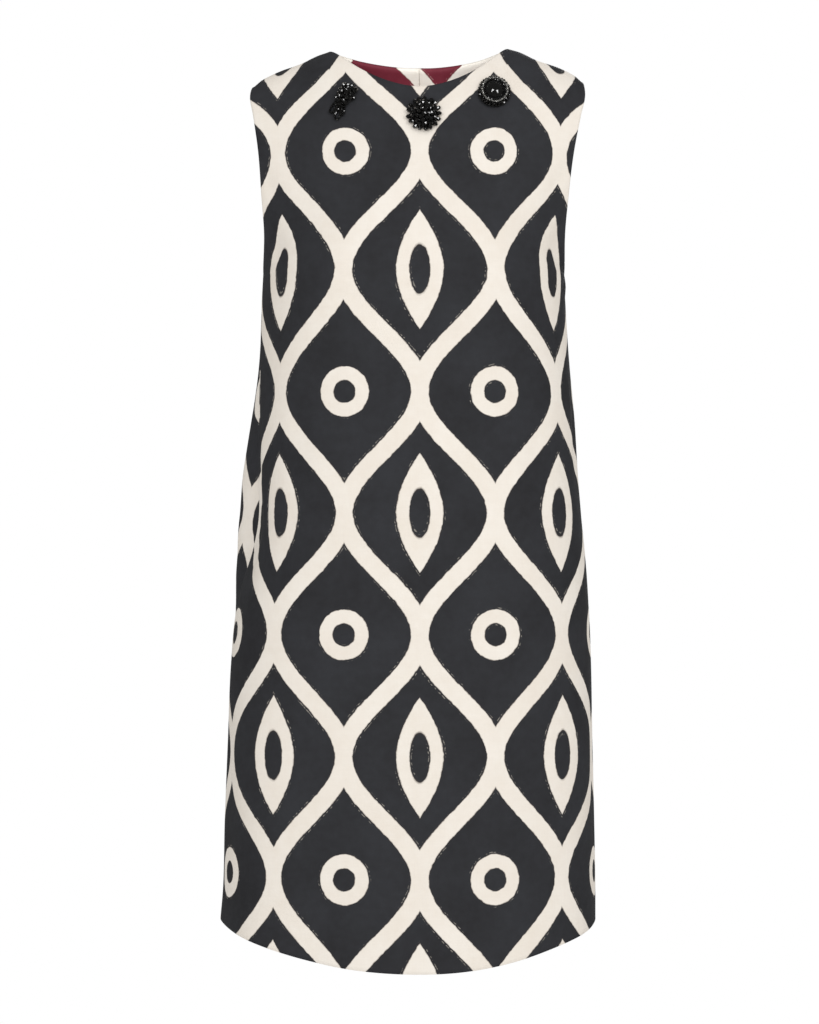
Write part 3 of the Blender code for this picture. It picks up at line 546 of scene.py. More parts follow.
class Cloth:
    """A panel's outer surface: points, normals, and each point's place on the flat cut."""

    def __init__(self, panel):
        self.panel = panel
        across, ups, points = [], [], []
        for row in ROWS:
            places = row_places(row)
            up = np.full(len(places), row)
            if row > TURN:
                share = (row - TURN) / (2 - TURN)
                up = TURN + share * (neckline_up(panel, places) - TURN)
            across.append(places)
            ups.append(up)
            points.append(figure_points(panel, places, up if row > TURN else row))
        self.across, self.up = np.array(across), np.array(ups)
        self.points = np.array(points)
        self.round_corners()
        for table in (FOLDS, CREASES):
            heights = self.points[..., 2]
            height = relief_height(table, panel, self.across, self.up, heights)
            self.points += height[..., None] * grid_normals(panel, self.points)
        self.cut = self.flat_cut()
        self.points -= self.seam_sink()[..., None] * grid_normals(panel, self.points)
        self.normals = grid_normals(panel, self.points)

    def round_corners(self):
        """Let the ridge of the shoulders fall away softly at the neck points and the tips."""
        x, y, z = (self.points[..., k] for k in range(3))
        for side in (LEFT, RIGHT):
            ridge = ridge_height(FRONT, side, SHOULDER_X[side])
            for reach, (drop, width, depth) in (
                    (NECK_SHARE * SHOULDER_X[side], NECK_ROUNDING),
                    (SHOULDER_X[side], TIP_ROUNDING)):
                near = np.exp(-((side * x - reach) / width) ** 2 - (y / depth) ** 2)
                self.points[..., 2] -= drop * near * smooth_step((z - ridge) / ROUNDING_BELOW + 1)

    def seam_sink(self):
        """How far the cloth sinks beside its stitched side seams and shoulder seams."""
        along = lengths_along(self.points, 1)
        away = np.minimum(along, along[:, -1:] - along)
        below = smooth_step((1 - ROWS[:, None]) / SIDE_SINK_FADE)
        depth, width = SIDE_SINK
        sink = below * depth * np.exp(-(away / width) ** 2)
        depth, width = SHOULDER_SINK
        rises = np.linalg.norm(self.points - self.points[-1:], axis=-1)
        seam = np.abs(self.across) >= NECK_END
        return sink + np.where(seam, depth * np.exp(-(rises / width) ** 2), 0)

    def flat_cut(self):
        """Places on the flat cloth: along the row from the centre line, and up the grain."""
        turn = int(np.argmax(ROWS > TURN)) - 1
        along = lengths_along(self.points, 1)
        along -= along[:, MIDDLE:MIDDLE + 1]
        upward = self.points[..., 2].copy()
        rises = np.linalg.norm(np.diff(self.points, axis=0), axis=-1)
        for row in range(turn + 1, len(ROWS)):
            places = self.across[row]
            along[row] = np.interp(places, self.across[turn], along[turn])
            along[row] += self.points[row, :, 0] - np.interp(
                places, self.across[turn], self.points[turn, :, 0])
            upward[row] = upward[row - 1] + rises[row - 1]
        return self.settled(np.stack((along, upward), axis=-1))

    def settled(self, cut):
        """Let the flat cloth give until its threads are as long as they are on the dress."""
        every, first, last = slice(None), slice(None, -1), slice(1, None)
        pairs = (
            ((every, first), (every, last)), ((first, every), (last, every)),
            ((first, first), (last, last)), ((first, last), (last, first)))
        lengths = [np.linalg.norm(self.points[b] - self.points[a], axis=-1) for a, b in pairs]
        for _ in range(SETTLE_STEPS):
            move = np.zeros_like(cut)
            for (a, b), length in zip(pairs, lengths):
                run = cut[b] - cut[a]
                now = np.sqrt(run[..., 0] ** 2 + run[..., 1] ** 2)
                pull = (SETTLE_SHARE * (1 - length / now))[..., None] * run
                move[a] += pull
                move[b] -= pull
            move[:, MIDDLE, 0] = 0
            cut += move
        return cut

    def beside_seam(self, side, distance):
        """Points and normals at a distance from the centre line, along each row."""
        columns = slice(MIDDLE, MIDDLE + side * BESIDE_SEAM_STEPS, side)
        points, normals = self.points[:, columns], self.normals[:, columns]
        lengths = lengths_along(points, 1)
        places, leans = (
            np.array([at_length(distance, *pair) for pair in zip(lengths, lines)])
            for lines in (points, normals))
        return places, unit(leans)

    def place(self, x, z):
        """The point and the normal of the surface at a given x and z, in the upper front."""
        upper = slice(BODY_STEPS, None)
        points = self.points[upper].reshape(-1, 3)
        normals = self.normals[upper].reshape(-1, 3)
        away = (points[:, 0] - x) ** 2 + (points[:, 2] - z) ** 2
        nearest = int(np.argmin(away))
        point, normal = points[nearest], normals[nearest]
        slope = (normal[0] * (x - point[0]) + normal[2] * (z - point[2])) / normal[1]
        return np.array((x, point[1] - slope, z)), normal


def share_seams(front, back):
    """Let both panels meet along the side seams and the shoulder seams."""
    body = slice(0, BODY_STEPS + 1)
    shoulder = np.abs(row_places(2)) >= NECK_END
    for seam in ((body, 0), (body, -1), (-1, shoulder)):
        points = (front.points[seam] + back.points[seam]) / 2
        normals = unit(front.normals[seam] + back.normals[seam])
        for cloth in (front, back):
            cloth.points[seam] = points
            cloth.normals[seam] = normals


# ---- meshes

def in_scene(name, data):
    """A new object in the scene."""
    thing = bpy.data.objects.new(name, data)
    bpy.context.scene.collection.objects.link(thing)
    return thing


def new_piece(name, mesh, body, slot, *nodes):
    """A piece that rides on a body and stands for CAD nodes, which it hides. Its slot is not used.
    """
    piece = in_scene(name, mesh)
    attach(piece, body)
    if nodes:
        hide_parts(*nodes)
    return piece


def mesh_of(build, name, *materials, smooth_to=None):
    """The mesh of what was built, with flat facets, or smooth up to an angle."""
    mesh = bpy.data.meshes.new(name)
    build.to_mesh(mesh)
    build.free()
    for material in materials:
        mesh.materials.append(material)
    if smooth_to is None:
        mesh.shade_flat()
    else:
        mesh.shade_smooth()
        mesh.set_sharp_from_angle(angle=math.radians(smooth_to))
    return mesh


def around(ring):
    """Each thing of a ring with the next one."""
    return list(zip(ring, ring[1:] + ring[:1]))


def quads_between(build, low, high):
    """Faces that join two rings of points."""
    return [build.faces.new((a, c, d, b)) for (a, b), (c, d) in zip(around(low), around(high))]


def drawn_in(grid, distances):
    """A grid whose edges are moved inwards: low column, high column, low row, high row."""
    grid = grid.copy()
    edges = (
        ((slice(None), 0), (slice(None), 1)), ((slice(None), -1), (slice(None), -2)),
        (0, 1), (-1, -2))
    for (edge, neighbour), distance in zip(edges, distances):
        grid[edge] += distance * unit(grid[neighbour] - grid[edge])
    return grid


def shell_mesh(name, panel, outer, middle, inner, cut, materials, inner_rows=0):
    """A thin closed sheet with a turned edge. The inner face has the second material, and its
    lowest rows the first."""
    rows, columns = outer.shape[:2]
    size = rows * columns
    index = np.arange(size).reshape(rows, columns)
    round_it = np.concatenate((
        index[0, :-1], index[:-1, -1], index[-1, :0:-1], index[:0:-1, 0]))
    count = len(round_it)
    round_middle = 2 * size + np.arange(count)
    vertices = np.concatenate((
        outer.reshape(-1, 3), inner.reshape(-1, 3), middle.reshape(-1, 3)[round_it]))
    places = cut.reshape(-1, 2)
    places = np.concatenate((places, places, places[round_it]))
    quads = np.stack((index[:-1, :-1], index[:-1, 1:], index[1:, 1:], index[1:, :-1]), axis=-1)
    quads = quads.reshape(-1, 4)
    lips = [
        np.stack((low, high, np.roll(high, -1), np.roll(low, -1)), axis=-1)
        for low, high in ((round_it, round_middle), (round_middle, size + round_it))]
    faces = np.concatenate((quads, size + quads[:, ::-1], *lips))
    if panel == BACK:
        faces = faces[:, ::-1]
    turned_up = np.arange(len(quads)) < inner_rows * (columns - 1)
    kinds = np.concatenate((
        np.zeros(len(quads), int), np.where(turned_up, 0, 1),
        np.zeros(count, int), np.ones(count, int)))
    mesh = bpy.data.meshes.new(name)
    mesh.from_pydata(vertices * MM, [], faces.tolist())
    for material in materials:
        mesh.materials.append(material)
    mesh.polygons.foreach_set("material_index", np.minimum(kinds, len(materials) - 1))
    layer = mesh.uv_layers.new(name="cut")
    loops = np.empty(len(mesh.loops), int)
    mesh.loops.foreach_get("vertex_index", loops)
    layer.data.foreach_set("uv", (places[loops] * MM).ravel())
    mesh.shade_smooth()
    return mesh


def make_panel(name, cloth, columns, materials):
    """A panel of the dress, as a lined wall with turned edges."""
    points, normals = cloth.points[:, columns], cloth.normals[:, columns]
    allowance = cloth.cut[:, columns, 1] - cloth.cut[0, columns, 1]
    turned_up = int(np.sum(allowance[:, allowance.shape[1] // 2] < HEM_ALLOWANCE))
    thick = WALL + HEM_STEP * smooth_step((HEM_ALLOWANCE - allowance) / HEM_STEP_WIDTH)
    roll = (EDGE_ROLL,) * 4
    outer = drawn_in(points, roll)
    middle = points - WALL / 2 * normals
    inner = drawn_in(points - thick[..., None] * normals, roll)
    mesh = shell_mesh(
        name, cloth.panel, outer, middle, inner, cloth.cut[:, columns], materials, turned_up)
    piece = new_piece(name + "_cloth", mesh, "dress", "printed_cloth", name)


# ---- lining and zip

def eased(vectors, rounds):
    """A grid of directions, each turned towards its neighbours a few times."""
    for _ in range(rounds):
        wide = np.pad(vectors, ((1, 1), (1, 1), (0, 0)), mode="edge")
        vectors = unit(
            2 * vectors + wide[:-2, 1:-1] + wide[2:, 1:-1] + wide[1:-1, :-2] + wide[1:-1, 2:])
    return vectors


def make_lining(name, back, columns, material):
    """Half of the back neck's lining, sewn in at the neckline over the zip's tape."""
    rows = slice(int(np.argmax(ROWS >= LINING_FOOT)), None)
    points, normals = back.points[rows, columns], eased(back.normals[rows, columns], LINING_EASE)
    cut = back.cut[rows, columns]
    below = cut[-1:, :, 1] - cut[..., 1]
    depth = LINING_TOP_DEPTH + (LINING_DEPTH - LINING_TOP_DEPTH) * smooth_step(below / LINING_TURN)
    split = (LINING_SPLIT / 2, LINING_SPLIT / 2, 0, LINING_SET_DOWN)
    roll = tuple(value + LINING_WALL / 3 for value in split)
    walls = [
        drawn_in(points - (depth + share * LINING_WALL)[..., None] * normals, edges)
        for share, edges in ((0, roll), (0.5, split), (1, roll))]
    mesh = shell_mesh(name, BACK, *walls, cut, [material])
    piece = new_piece(name + "_cloth", mesh, "dress", "neck_lining", name)
    return piece


def make_zip_tape(back, tape):
    """The two halves of the zip's tape, behind the centre back seam."""
    foot = int(np.argmax(back.points[:, MIDDLE, 2] > ZIP_FOOT_Z))
    edges = (0, 0, 0, ZIP_TAPE_SET_DOWN)
    build = bmesh.new()
    for side in (LEFT, RIGHT):
        lines = [back.beside_seam(side, place) for place in TAPE_PLACES[::side]]
        points, normals = (np.stack([line[k][foot:] for line in lines], axis=1) for k in (0, 1))
        places = side * np.array(TAPE_PLACES)[::side]
        cut = np.stack((np.broadcast_to(places, points.shape[:2]), points[..., 2]), axis=-1)
        walls = [
            drawn_in(points - (TAPE_DEPTH + share * TAPE_WALL) * normals, edges)
            for share in (0, 0.5, 1)]
        build.from_mesh(shell_mesh("zip_tape", BACK, *walls, cut, [tape]))
    new_piece("zip_tape_halves", mesh_of(build, "zip_tape", tape, smooth_to=180), "dress",
              "zip_tape", "zip_tape")


def seam_frame(point, away):
    """A frame on the seam: X across, Y away from the cloth, Z up along the seam."""
    across = Vector((1, 0, 0))
    place = Matrix((across, away, across.cross(away).normalized())).transposed().to_4x4()
    place.translation = point * MM
    return place


def make_zip_teeth(back, metal):
    """The closed coil of the zip: teeth from each side in turn, over the tape."""
    run = back.points[:, MIDDLE, 2] > ZIP_FOOT_Z
    centre, normals = back.points[run, MIDDLE], back.normals[run, MIDDLE]
    length = lengths_along(centre)
    size = Matrix.Diagonal((*(Vector(TOOTH_SIZE) * MM), 1))
    build = bmesh.new()
    for tooth in range(int((length[-1] - 2 * ZIP_TAPE_SET_DOWN) / (TOOTH_PITCH / 2))):
        at = ZIP_TAPE_SET_DOWN + tooth * TOOTH_PITCH / 2
        point, away = (Vector(at_length(at, length, path)) for path in (centre, normals))
        away.normalize()
        point -= away * (TAPE_DEPTH + TAPE_WALL + TOOTH_SIZE[1] / 2)
        point.x += TOOTH_OFFSET if tooth % 2 else -TOOTH_OFFSET
        bmesh.ops.create_cube(build, size=1, matrix=seam_frame(point, away) @ size)
    new_piece("zip_teeth", mesh_of(build, "zip_teeth", metal), "dress", "zip_metal")


def slider_frame(back):
    """Where the slider sits on the seam, just off the cloth."""
    centre, normals = back.points[:, MIDDLE], back.normals[:, MIDDLE]
    low = centre[-1, 2] - SLIDER_BELOW_NECK
    order = np.argsort(centre[:, 2])
    point, away = (
        Vector(at_length(low, centre[order, 2], path[order])) for path in (centre, normals))
    away.x = 0
    away.normalize()
    return seam_frame(point + away * SEAT_GAP, away)


def slider_plate(build, place):
    """The slider's plate, with rounded edges."""
    foot = [build.verts.new(place @ (Vector((x, 0, z)) * MM)) for x, z in SLIDER_PLATE]
    lift = bmesh.ops.extrude_face_region(build, geom=[build.faces.new(foot)])["geom"]
    top = [part for part in lift if isinstance(part, bmesh.types.BMVert)]
    push = place.to_3x3() @ Vector((0, SLIDER_DEPTH * MM, 0))
    bmesh.ops.translate(build, verts=top, vec=push)
    bmesh.ops.recalc_face_normals(build, faces=build.faces)
    edges = {edge for vert in foot + top for edge in vert.link_edges}
    bmesh.ops.bevel(
        build, geom=list(edges), offset=SLIDER_BEVEL * MM, segments=2, affect="EDGES",
        profile=0.5)


def make_slider(place, metal):
    """The zip's slider: a shield-shaped plate and a bent bridge that holds the pull tab."""
    build = bmesh.new()
    slider_plate(build, place)
    arch = [*BRIDGE_OUTSIDE, *((-z, y) for z, y in BRIDGE_OUTSIDE[::-1]),
            *((-z, y) for z, y in BRIDGE_INSIDE), *BRIDGE_INSIDE[::-1]]
    sides = [
        [build.verts.new(place @ (Vector((x, y, z)) * MM)) for z, y in arch]
        for x in (-BRIDGE_WIDTH / 2, BRIDGE_WIDTH / 2)]
    build.faces.new(sides[0])
    build.faces.new(sides[1][::-1])
    quads_between(build, *sides)
    bmesh.ops.recalc_face_normals(build, faces=build.faces)
    new_piece("zip_slider_body", mesh_of(build, "zip_slider", metal, smooth_to=SLIDER_SMOOTH),
              "dress", "zip_metal", "zip_slider")


def arc(x, z, radius, start, end, steps):
    """Places on part of a circle."""
    return [
        (x + radius * math.cos(angle), z + radius * math.sin(angle))
        for angle in np.linspace(start, end, steps + 1)]


def pull_outline(grow):
    """Outline of the drop-shaped tab, grown outwards by a distance."""
    corner = arc(
        PULL_HEAD + grow - PULL_CORNER, PULL_HEAD_BAR / 2 + grow - PULL_CORNER, PULL_CORNER,
        0, math.pi / 2, PULL_STEPS[0])
    foot = arc(0, -PULL_LENGTH, PULL_FOOT_RADIUS + grow, math.pi, math.tau, PULL_STEPS[1])
    return corner + [(-x, z) for x, z in corner[::-1]] + foot


def make_pull(place, metal):
    """The pull tab: a flat drop with a rounded rim, a sunk field and an eye at its head."""
    half = PULL_WALL / 2
    build = bmesh.new()
    loops = []
    for face in (1, -1):
        for grow, level in PULL_LEVELS[::-face]:
            loops.append([
                build.verts.new(Vector((x, face * half * level, z)) * MM)
                for x, z in pull_outline(grow)])
    for low, high in zip(loops[:-1], loops[1:]):
        quads_between(build, low, high)
    eye_x, eye_foot = PULL_EYE
    eye_top = -PULL_HEAD_BAR / 2
    eye = ((-eye_x, eye_top), (eye_x, eye_top), (eye_x, -eye_foot), (-eye_x, -eye_foot))
    field = PULL_LEVELS[-1][1] * half
    holes = []
    for y, loop in ((field, loops[0]), (-field, loops[-1])):
        holes.append([build.verts.new(Vector((x, y, z)) * MM) for x, z in eye])
        edges = [build.edges.get(pair) for pair in around(loop)]
        edges += [build.edges.new(pair) for pair in around(holes[-1])]
        bmesh.ops.triangle_fill(build, edges=edges, use_beauty=True)
    quads_between(build, *holes)
    bmesh.ops.recalc_face_normals(build, faces=build.faces)
    hinge = Matrix.Translation(Vector((0, HINGE_HEIGHT, 0)) * MM)
    lean = Matrix.Rotation(math.radians(-PULL_TILT), 4, "X")
    bmesh.ops.transform(build, matrix=place @ hinge @ lean, verts=build.verts)
    new_piece("zip_pull_tab", mesh_of(build, "zip_pull", metal, smooth_to=PULL_SMOOTH), "pull",
              "zip_metal", "zip_pull")


# ---- beaded ornaments

def seat_frame(front, x, z, lift):
    """A frame on the front: X across, Y up the cloth, Z away from it, a lift above it."""
    point, normal = front.place(x, z)
    away = Vector(normal).normalized()
    across = (Vector((1, 0, 0)) - away * away.x).normalized()
    place = Matrix((across, away.cross(across), away)).transposed().to_4x4()
    place.translation = (Vector(point) + away * lift) * MM
    return place


def rolled(place, *turns):
    """A frame, turned about its own axes one after the other."""
    for angle, axis in turns:
        place = place @ Matrix.Rotation(angle, 4, axis)
    return place


def in_oval(place, size, lean, share, angle):
    """The x and z of a place on the way from an oval's middle to its edge, at a share of it."""
    x, z = size[0] * share * math.cos(angle), size[1] * share * math.sin(angle)
    turn = math.radians(lean)
    return (place[0] + x * math.cos(turn) - z * math.sin(turn),
            place[1] + x * math.sin(turn) + z * math.cos(turn))


def ring_of_points(build, place, radius, height, count, start):
    """Points on a circle around a frame's Z, from an angle on."""
    angles = [start + math.tau * number / count for number in range(count)]
    return [
        build.verts.new(place @ (Vector((
            radius * math.cos(angle), radius * math.sin(angle), height)) * MM))
        for angle in angles]


def bead(build, place, radius, length, sides=BEAD_SIDES):
    """A cut bead, its axis along Z: rings of facets, turned half a facet from ring to ring."""
    rings = [
        ring_of_points(build, place, radius * reach, length / 2 * height, sides,
                       math.pi * (number % 2) / sides)
        for number, (height, reach) in enumerate(BEAD_LEVELS)]
    build.faces.new(rings[0][::-1])
    build.faces.new(rings[-1])
    for number, (low, high) in enumerate(zip(rings[:-1], rings[1:])):
        for (a, b), (c, d) in zip(around(low), around(high)):
            for corners in ((a, b, d), (a, d, c)) if number % 2 else ((a, b, c), (b, d, c)):
                build.faces.new(corners)


def backing(build, front, place, size, lean, dome):
    """The domed felt that the beads are sewn on, in the cluster's second material."""
    rings = []
    for number in range(FELT_RINGS + 1):
        share = number / FELT_RINGS
        rise = FELT + dome * (1 - share ** 2) if share < 1 else 0
        rings.append([])
        for spoke in range(FELT_SPOKES if number else 1):
            angle = math.tau * spoke / FELT_SPOKES
            point, normal = front.place(*in_oval(place, size, lean, share, angle))
            rings[-1].append(build.verts.new(Vector(point + normal * (SEAT_GAP + rise)) * MM))
    felt = [build.faces.new(rings[-1][::-1])]
    felt += [build.faces.new((rings[0][0], *pair)) for pair in around(rings[1])]
    for inner, outer in zip(rings[1:-1], rings[2:]):
        felt += quads_between(build, inner, outer)
    for face in felt:
        face.material_index = 1


def scatter(build, front, place, size, lean, dome, count, radius, chance):
    """Cut beads packed over a domed oval, each tipped and turned its own way."""
    for number in range(count):
        share = math.sqrt((number + FIRST_BEAD) / count)
        own = radius * chance.uniform(*BEAD_SIZES)
        lift = SEAT_GAP + FELT + dome * (1 - share ** 2) + chance.uniform(*BEAD_SEATS) * own
        spot = in_oval(place, size, lean, share, number * GOLDEN_ANGLE)
        seat = rolled(
            seat_frame(front, *spot, lift), (chance.uniform(0, math.tau), "Z"),
            (chance.uniform(-BEAD_TIP, BEAD_TIP), "X"))
        bead(build, seat, own, BEAD_STRETCH * own)


def ring_of_beads(build, front, place, reach, lift, count, radius, length, chance):
    """Cut beads side by side around a circle, their axes pointing outwards."""
    for number in range(count):
        angle = math.tau * (number + chance.uniform(-RING_STRAY, RING_STRAY)) / count
        far = reach + chance.uniform(-RING_UNEVEN, RING_UNEVEN) * radius
        high = SEAT_GAP + lift + chance.uniform(-RING_RISE, RING_RISE) * radius
        seat = rolled(
            seat_frame(front, *in_oval(place, (far, far), 0, 1, angle), high),
            (angle, "Z"), (chance.uniform(*RING_TIPS), "Y"), (chance.uniform(0, math.tau), "Z"))
        bead(build, seat, radius * chance.uniform(*RING_SIZES), length)


def bead_loop(build, front, place, size, lean, chance):
    """Small beads on a thread that hangs in a loop and lifts a little at its sides."""
    fine = np.linspace(0, math.tau, LOOP_STEPS)
    length = lengths_along(np.stack((size[0] * np.cos(fine), size[1] * np.sin(fine)), axis=-1))
    count = int(length[-1] / LOOP_BEAD)
    for number in range(count):
        angle = float(np.interp(length[-1] * number / count, length, fine))
        heading = math.atan2(size[1] * math.cos(angle), -size[0] * math.sin(angle))
        lift = SEAT_GAP + LOOP_LIFT[0] + LOOP_LIFT[1] * math.sin(angle) ** 2
        seat = rolled(
            seat_frame(front, *in_oval(place, size, lean, 1, angle), lift),
            (heading + math.radians(lean), "Z"), (math.pi / 2, "Y"),
            (chance.uniform(0, math.tau), "Z"))
        bead(build, seat, LOOP_BEAD * chance.uniform(*LOOP_SIZES), LOOP_BEAD, LOOP_SIDES)


def cut_stone(build, place):
    """A rose-cut stone: a small table, long facets around it and a crown of small ones."""
    table, crown, girdle, foot = (
        ring_of_points(build, place, radius, height, count,
                       math.radians(STONE_TURN) + math.tau * shift / count)
        for radius, height, count, shift in STONE_RINGS)
    faces = [table, foot[::-1]]
    for k, (near, after) in enumerate(around(crown)):
        start, half = girdle[2 * k:2 * k + 2]
        edge, corner = table[2 * k:2 * k + 2]
        far, next_edge = (ring[(2 * k + 2) % len(ring)] for ring in (girdle, table))
        faces += [
            (near, corner, edge), (near, after, next_edge, corner),
            (start, half, near), (half, after, near), (half, far, after)]
    for face in faces:
        build.faces.new(face)
    quads_between(build, girdle, foot)


def make_ornament(front, name, jet, felt, silvered):
    """A cluster of jet beads on felt, with what else it has: loops, a stone, silvered seeds."""
    place, seed, felts, ovals, rings = ORNAMENTS[name]
    chance = random.Random(seed)
    build = bmesh.new()
    backing(build, front, place, *felts)
    for oval in ovals:
        scatter(build, front, *oval, chance)
    if name == "beads_left":
        for loop in LOOPS:
            bead_loop(build, front, *loop, chance)
    if name == "beads_right":
        seat = seat_frame(front, *place, SEAT_GAP + STONE_LIFT)
        cut_stone(build, rolled(seat, (math.radians(STONE_LEAN), "Y")))
    for ring in rings:
        ring_of_beads(build, front, place, *ring, chance)
    new_piece(name + "_cut", mesh_of(build, name, jet, felt), "dress", "jet_beads", name)
    if name == "beads_right":
        seeds = bmesh.new()
        ring_of_beads(seeds, front, place, *SEED_RING, chance)
        new_piece(name + "_seeds", mesh_of(seeds, "seeds", silvered), "dress", "jet_beads")


# ---- materials

def linear(colour):
    """An sRGB hex colour as linear red, green, blue and alpha."""
    parts = [int(colour[k:k + 2], 16) / 255 for k in (1, 3, 5)]
    return (*(p / 12.92 if p <= 0.04045 else ((p + 0.055) / 1.055) ** 2.4 for p in parts), 1)


def add(tree, kind, *inputs, named=None, **settings):
    """Add a node with its settings. Values, hex colours and nodes go to its sockets in order, or
    by name."""
    node = tree.nodes.new("ShaderNode" + kind)
    for name, value in settings.items():
        setattr(node, name, value)
    pairs = list(zip([socket for socket in node.inputs if socket.enabled], inputs))
    pairs += [(node.inputs[name], value) for name, value in (named or {}).items()]
    for socket, value in pairs:
        if isinstance(value, bpy.types.Node):
            value = next(output for output in value.outputs if output.enabled)
        if isinstance(value, bpy.types.NodeSocket):
            tree.links.new(value, socket)
        else:
            socket.default_value = linear(value) if isinstance(value, str) else value
    return node


def made_of(name, finish, *details):
    """A material. Its finish adds the nodes and gives back the shader."""
    material = bpy.data.materials.new(name)
    material.use_nodes = True
    tree = material.node_tree
    tree.nodes.clear()
    add(tree, "OutputMaterial", finish(tree, *details))
    return material


def on_the_cut(tree):
    """Places on the flat cut of the cloth, in millimetres."""
    cut = add(tree, "UVMap", uv_map="cut")
    return add(tree, "VectorMath", cut, 1 / MM, operation="SCALE")


def speckled(tree, scale, detail, low, high, *colours):
    """Noise through the piece, of a scale per metre, and two colours mixed by it."""
    noise = add(tree, "TexNoise", add(tree, "TexCoord").outputs["Object"], scale, detail)
    share = add(tree, "MapRange", noise, low, high)
    return noise, add(tree, "Mix", share, *colours, data_type="RGBA")


def ogee_print(tree, place, shift):
    """How far inside the light part of the print a place lies, in millimetres.

    The print is a trellis of ogees in half drop. Cells of one column hold a pointed leaf with a
    dark seed, and those of the next a ringed dot. A leaf's middle lies at the shift.
    """
    waver = add(tree, "TexNoise", place, WAVER_SCALE, 3)
    waver = add(tree, "VectorMath", waver.outputs["Color"], (0.5, 0.5, 0.5), operation="SUBTRACT")
    waver = add(tree, "VectorMath", waver, WAVER, operation="SCALE")
    parts = add(tree, "SeparateXYZ", add(tree, "VectorMath", place, waver, operation="ADD"))
    folded = []
    for axis, start, half in (("X", shift[0], HALF_PITCH), ("Y", shift[1], HALF_REPEAT)):
        far = add(tree, "Math", parts.outputs[axis], start, operation="SUBTRACT")
        folded.append(add(tree, "Math", far, half, operation="PINGPONG"))
    across, height = folded

    # The trellis: a cosine line, with its distance taken across its slope
    turn = add(tree, "Math", height, math.pi / HALF_REPEAT, operation="MULTIPLY")
    line = add(tree, "Math", turn, operation="COSINE")
    line = add(tree, "Math", line, HALF_PITCH / 2, HALF_PITCH / 2, operation="MULTIPLY_ADD")
    steepest = HALF_PITCH / 2 * math.pi / HALF_REPEAT
    slope = add(tree, "Math", turn, operation="SINE")
    slope = add(tree, "Math", slope, steepest, operation="MULTIPLY")
    slope = add(tree, "Math", slope, slope, 1, operation="MULTIPLY_ADD")
    slope = add(tree, "Math", slope, operation="INVERSE_SQRT")
    away = add(tree, "Math", across, line, operation="SUBTRACT")
    away = add(tree, "Math", away, operation="ABSOLUTE")
    away = add(tree, "Math", away, slope, operation="MULTIPLY")
    band = add(tree, "Math", BAND / 2, away, operation="SUBTRACT")

    # The leaf, on the line where the cells of its column meet the shift
    half_width, half_height = LEAF
    share = add(tree, "Math", height, half_height, operation="DIVIDE")
    share = add(tree, "Math", share, LEAF_POWER, operation="POWER")
    reach = add(tree, "Math", share, -half_width, half_width, operation="MULTIPLY_ADD")
    leaf = add(tree, "Math", reach, across, operation="SUBTRACT")
    leaf = add(tree, "Math", leaf, LEAF_LEAN, operation="MULTIPLY")

    def oval(beside, above, radius, stretch):
        """How far outside an oval a place lies."""
        tall = add(tree, "Math", above, stretch, operation="DIVIDE")
        square = add(tree, "Math", beside, beside, operation="MULTIPLY")
        square = add(tree, "Math", tall, tall, square, operation="MULTIPLY_ADD")
        far = add(tree, "Math", square, operation="SQRT")
        return add(tree, "Math", far, radius, operation="SUBTRACT")

    leaf = add(tree, "Math", leaf, oval(across, height, *SEED), operation="MINIMUM")
    beside = add(tree, "Math", HALF_PITCH, across, operation="SUBTRACT")
    above = add(tree, "Math", HALF_REPEAT, height, operation="SUBTRACT")
    ring = add(tree, "Math", 0, oval(beside, above, RING, 1), operation="SUBTRACT")
    ring = add(tree, "Math", ring, oval(beside, above, DOT, 1), operation="MINIMUM")
    light = add(tree, "Math", band, leaf, operation="MAXIMUM")
    return add(tree, "Math", light, ring, operation="MAXIMUM")


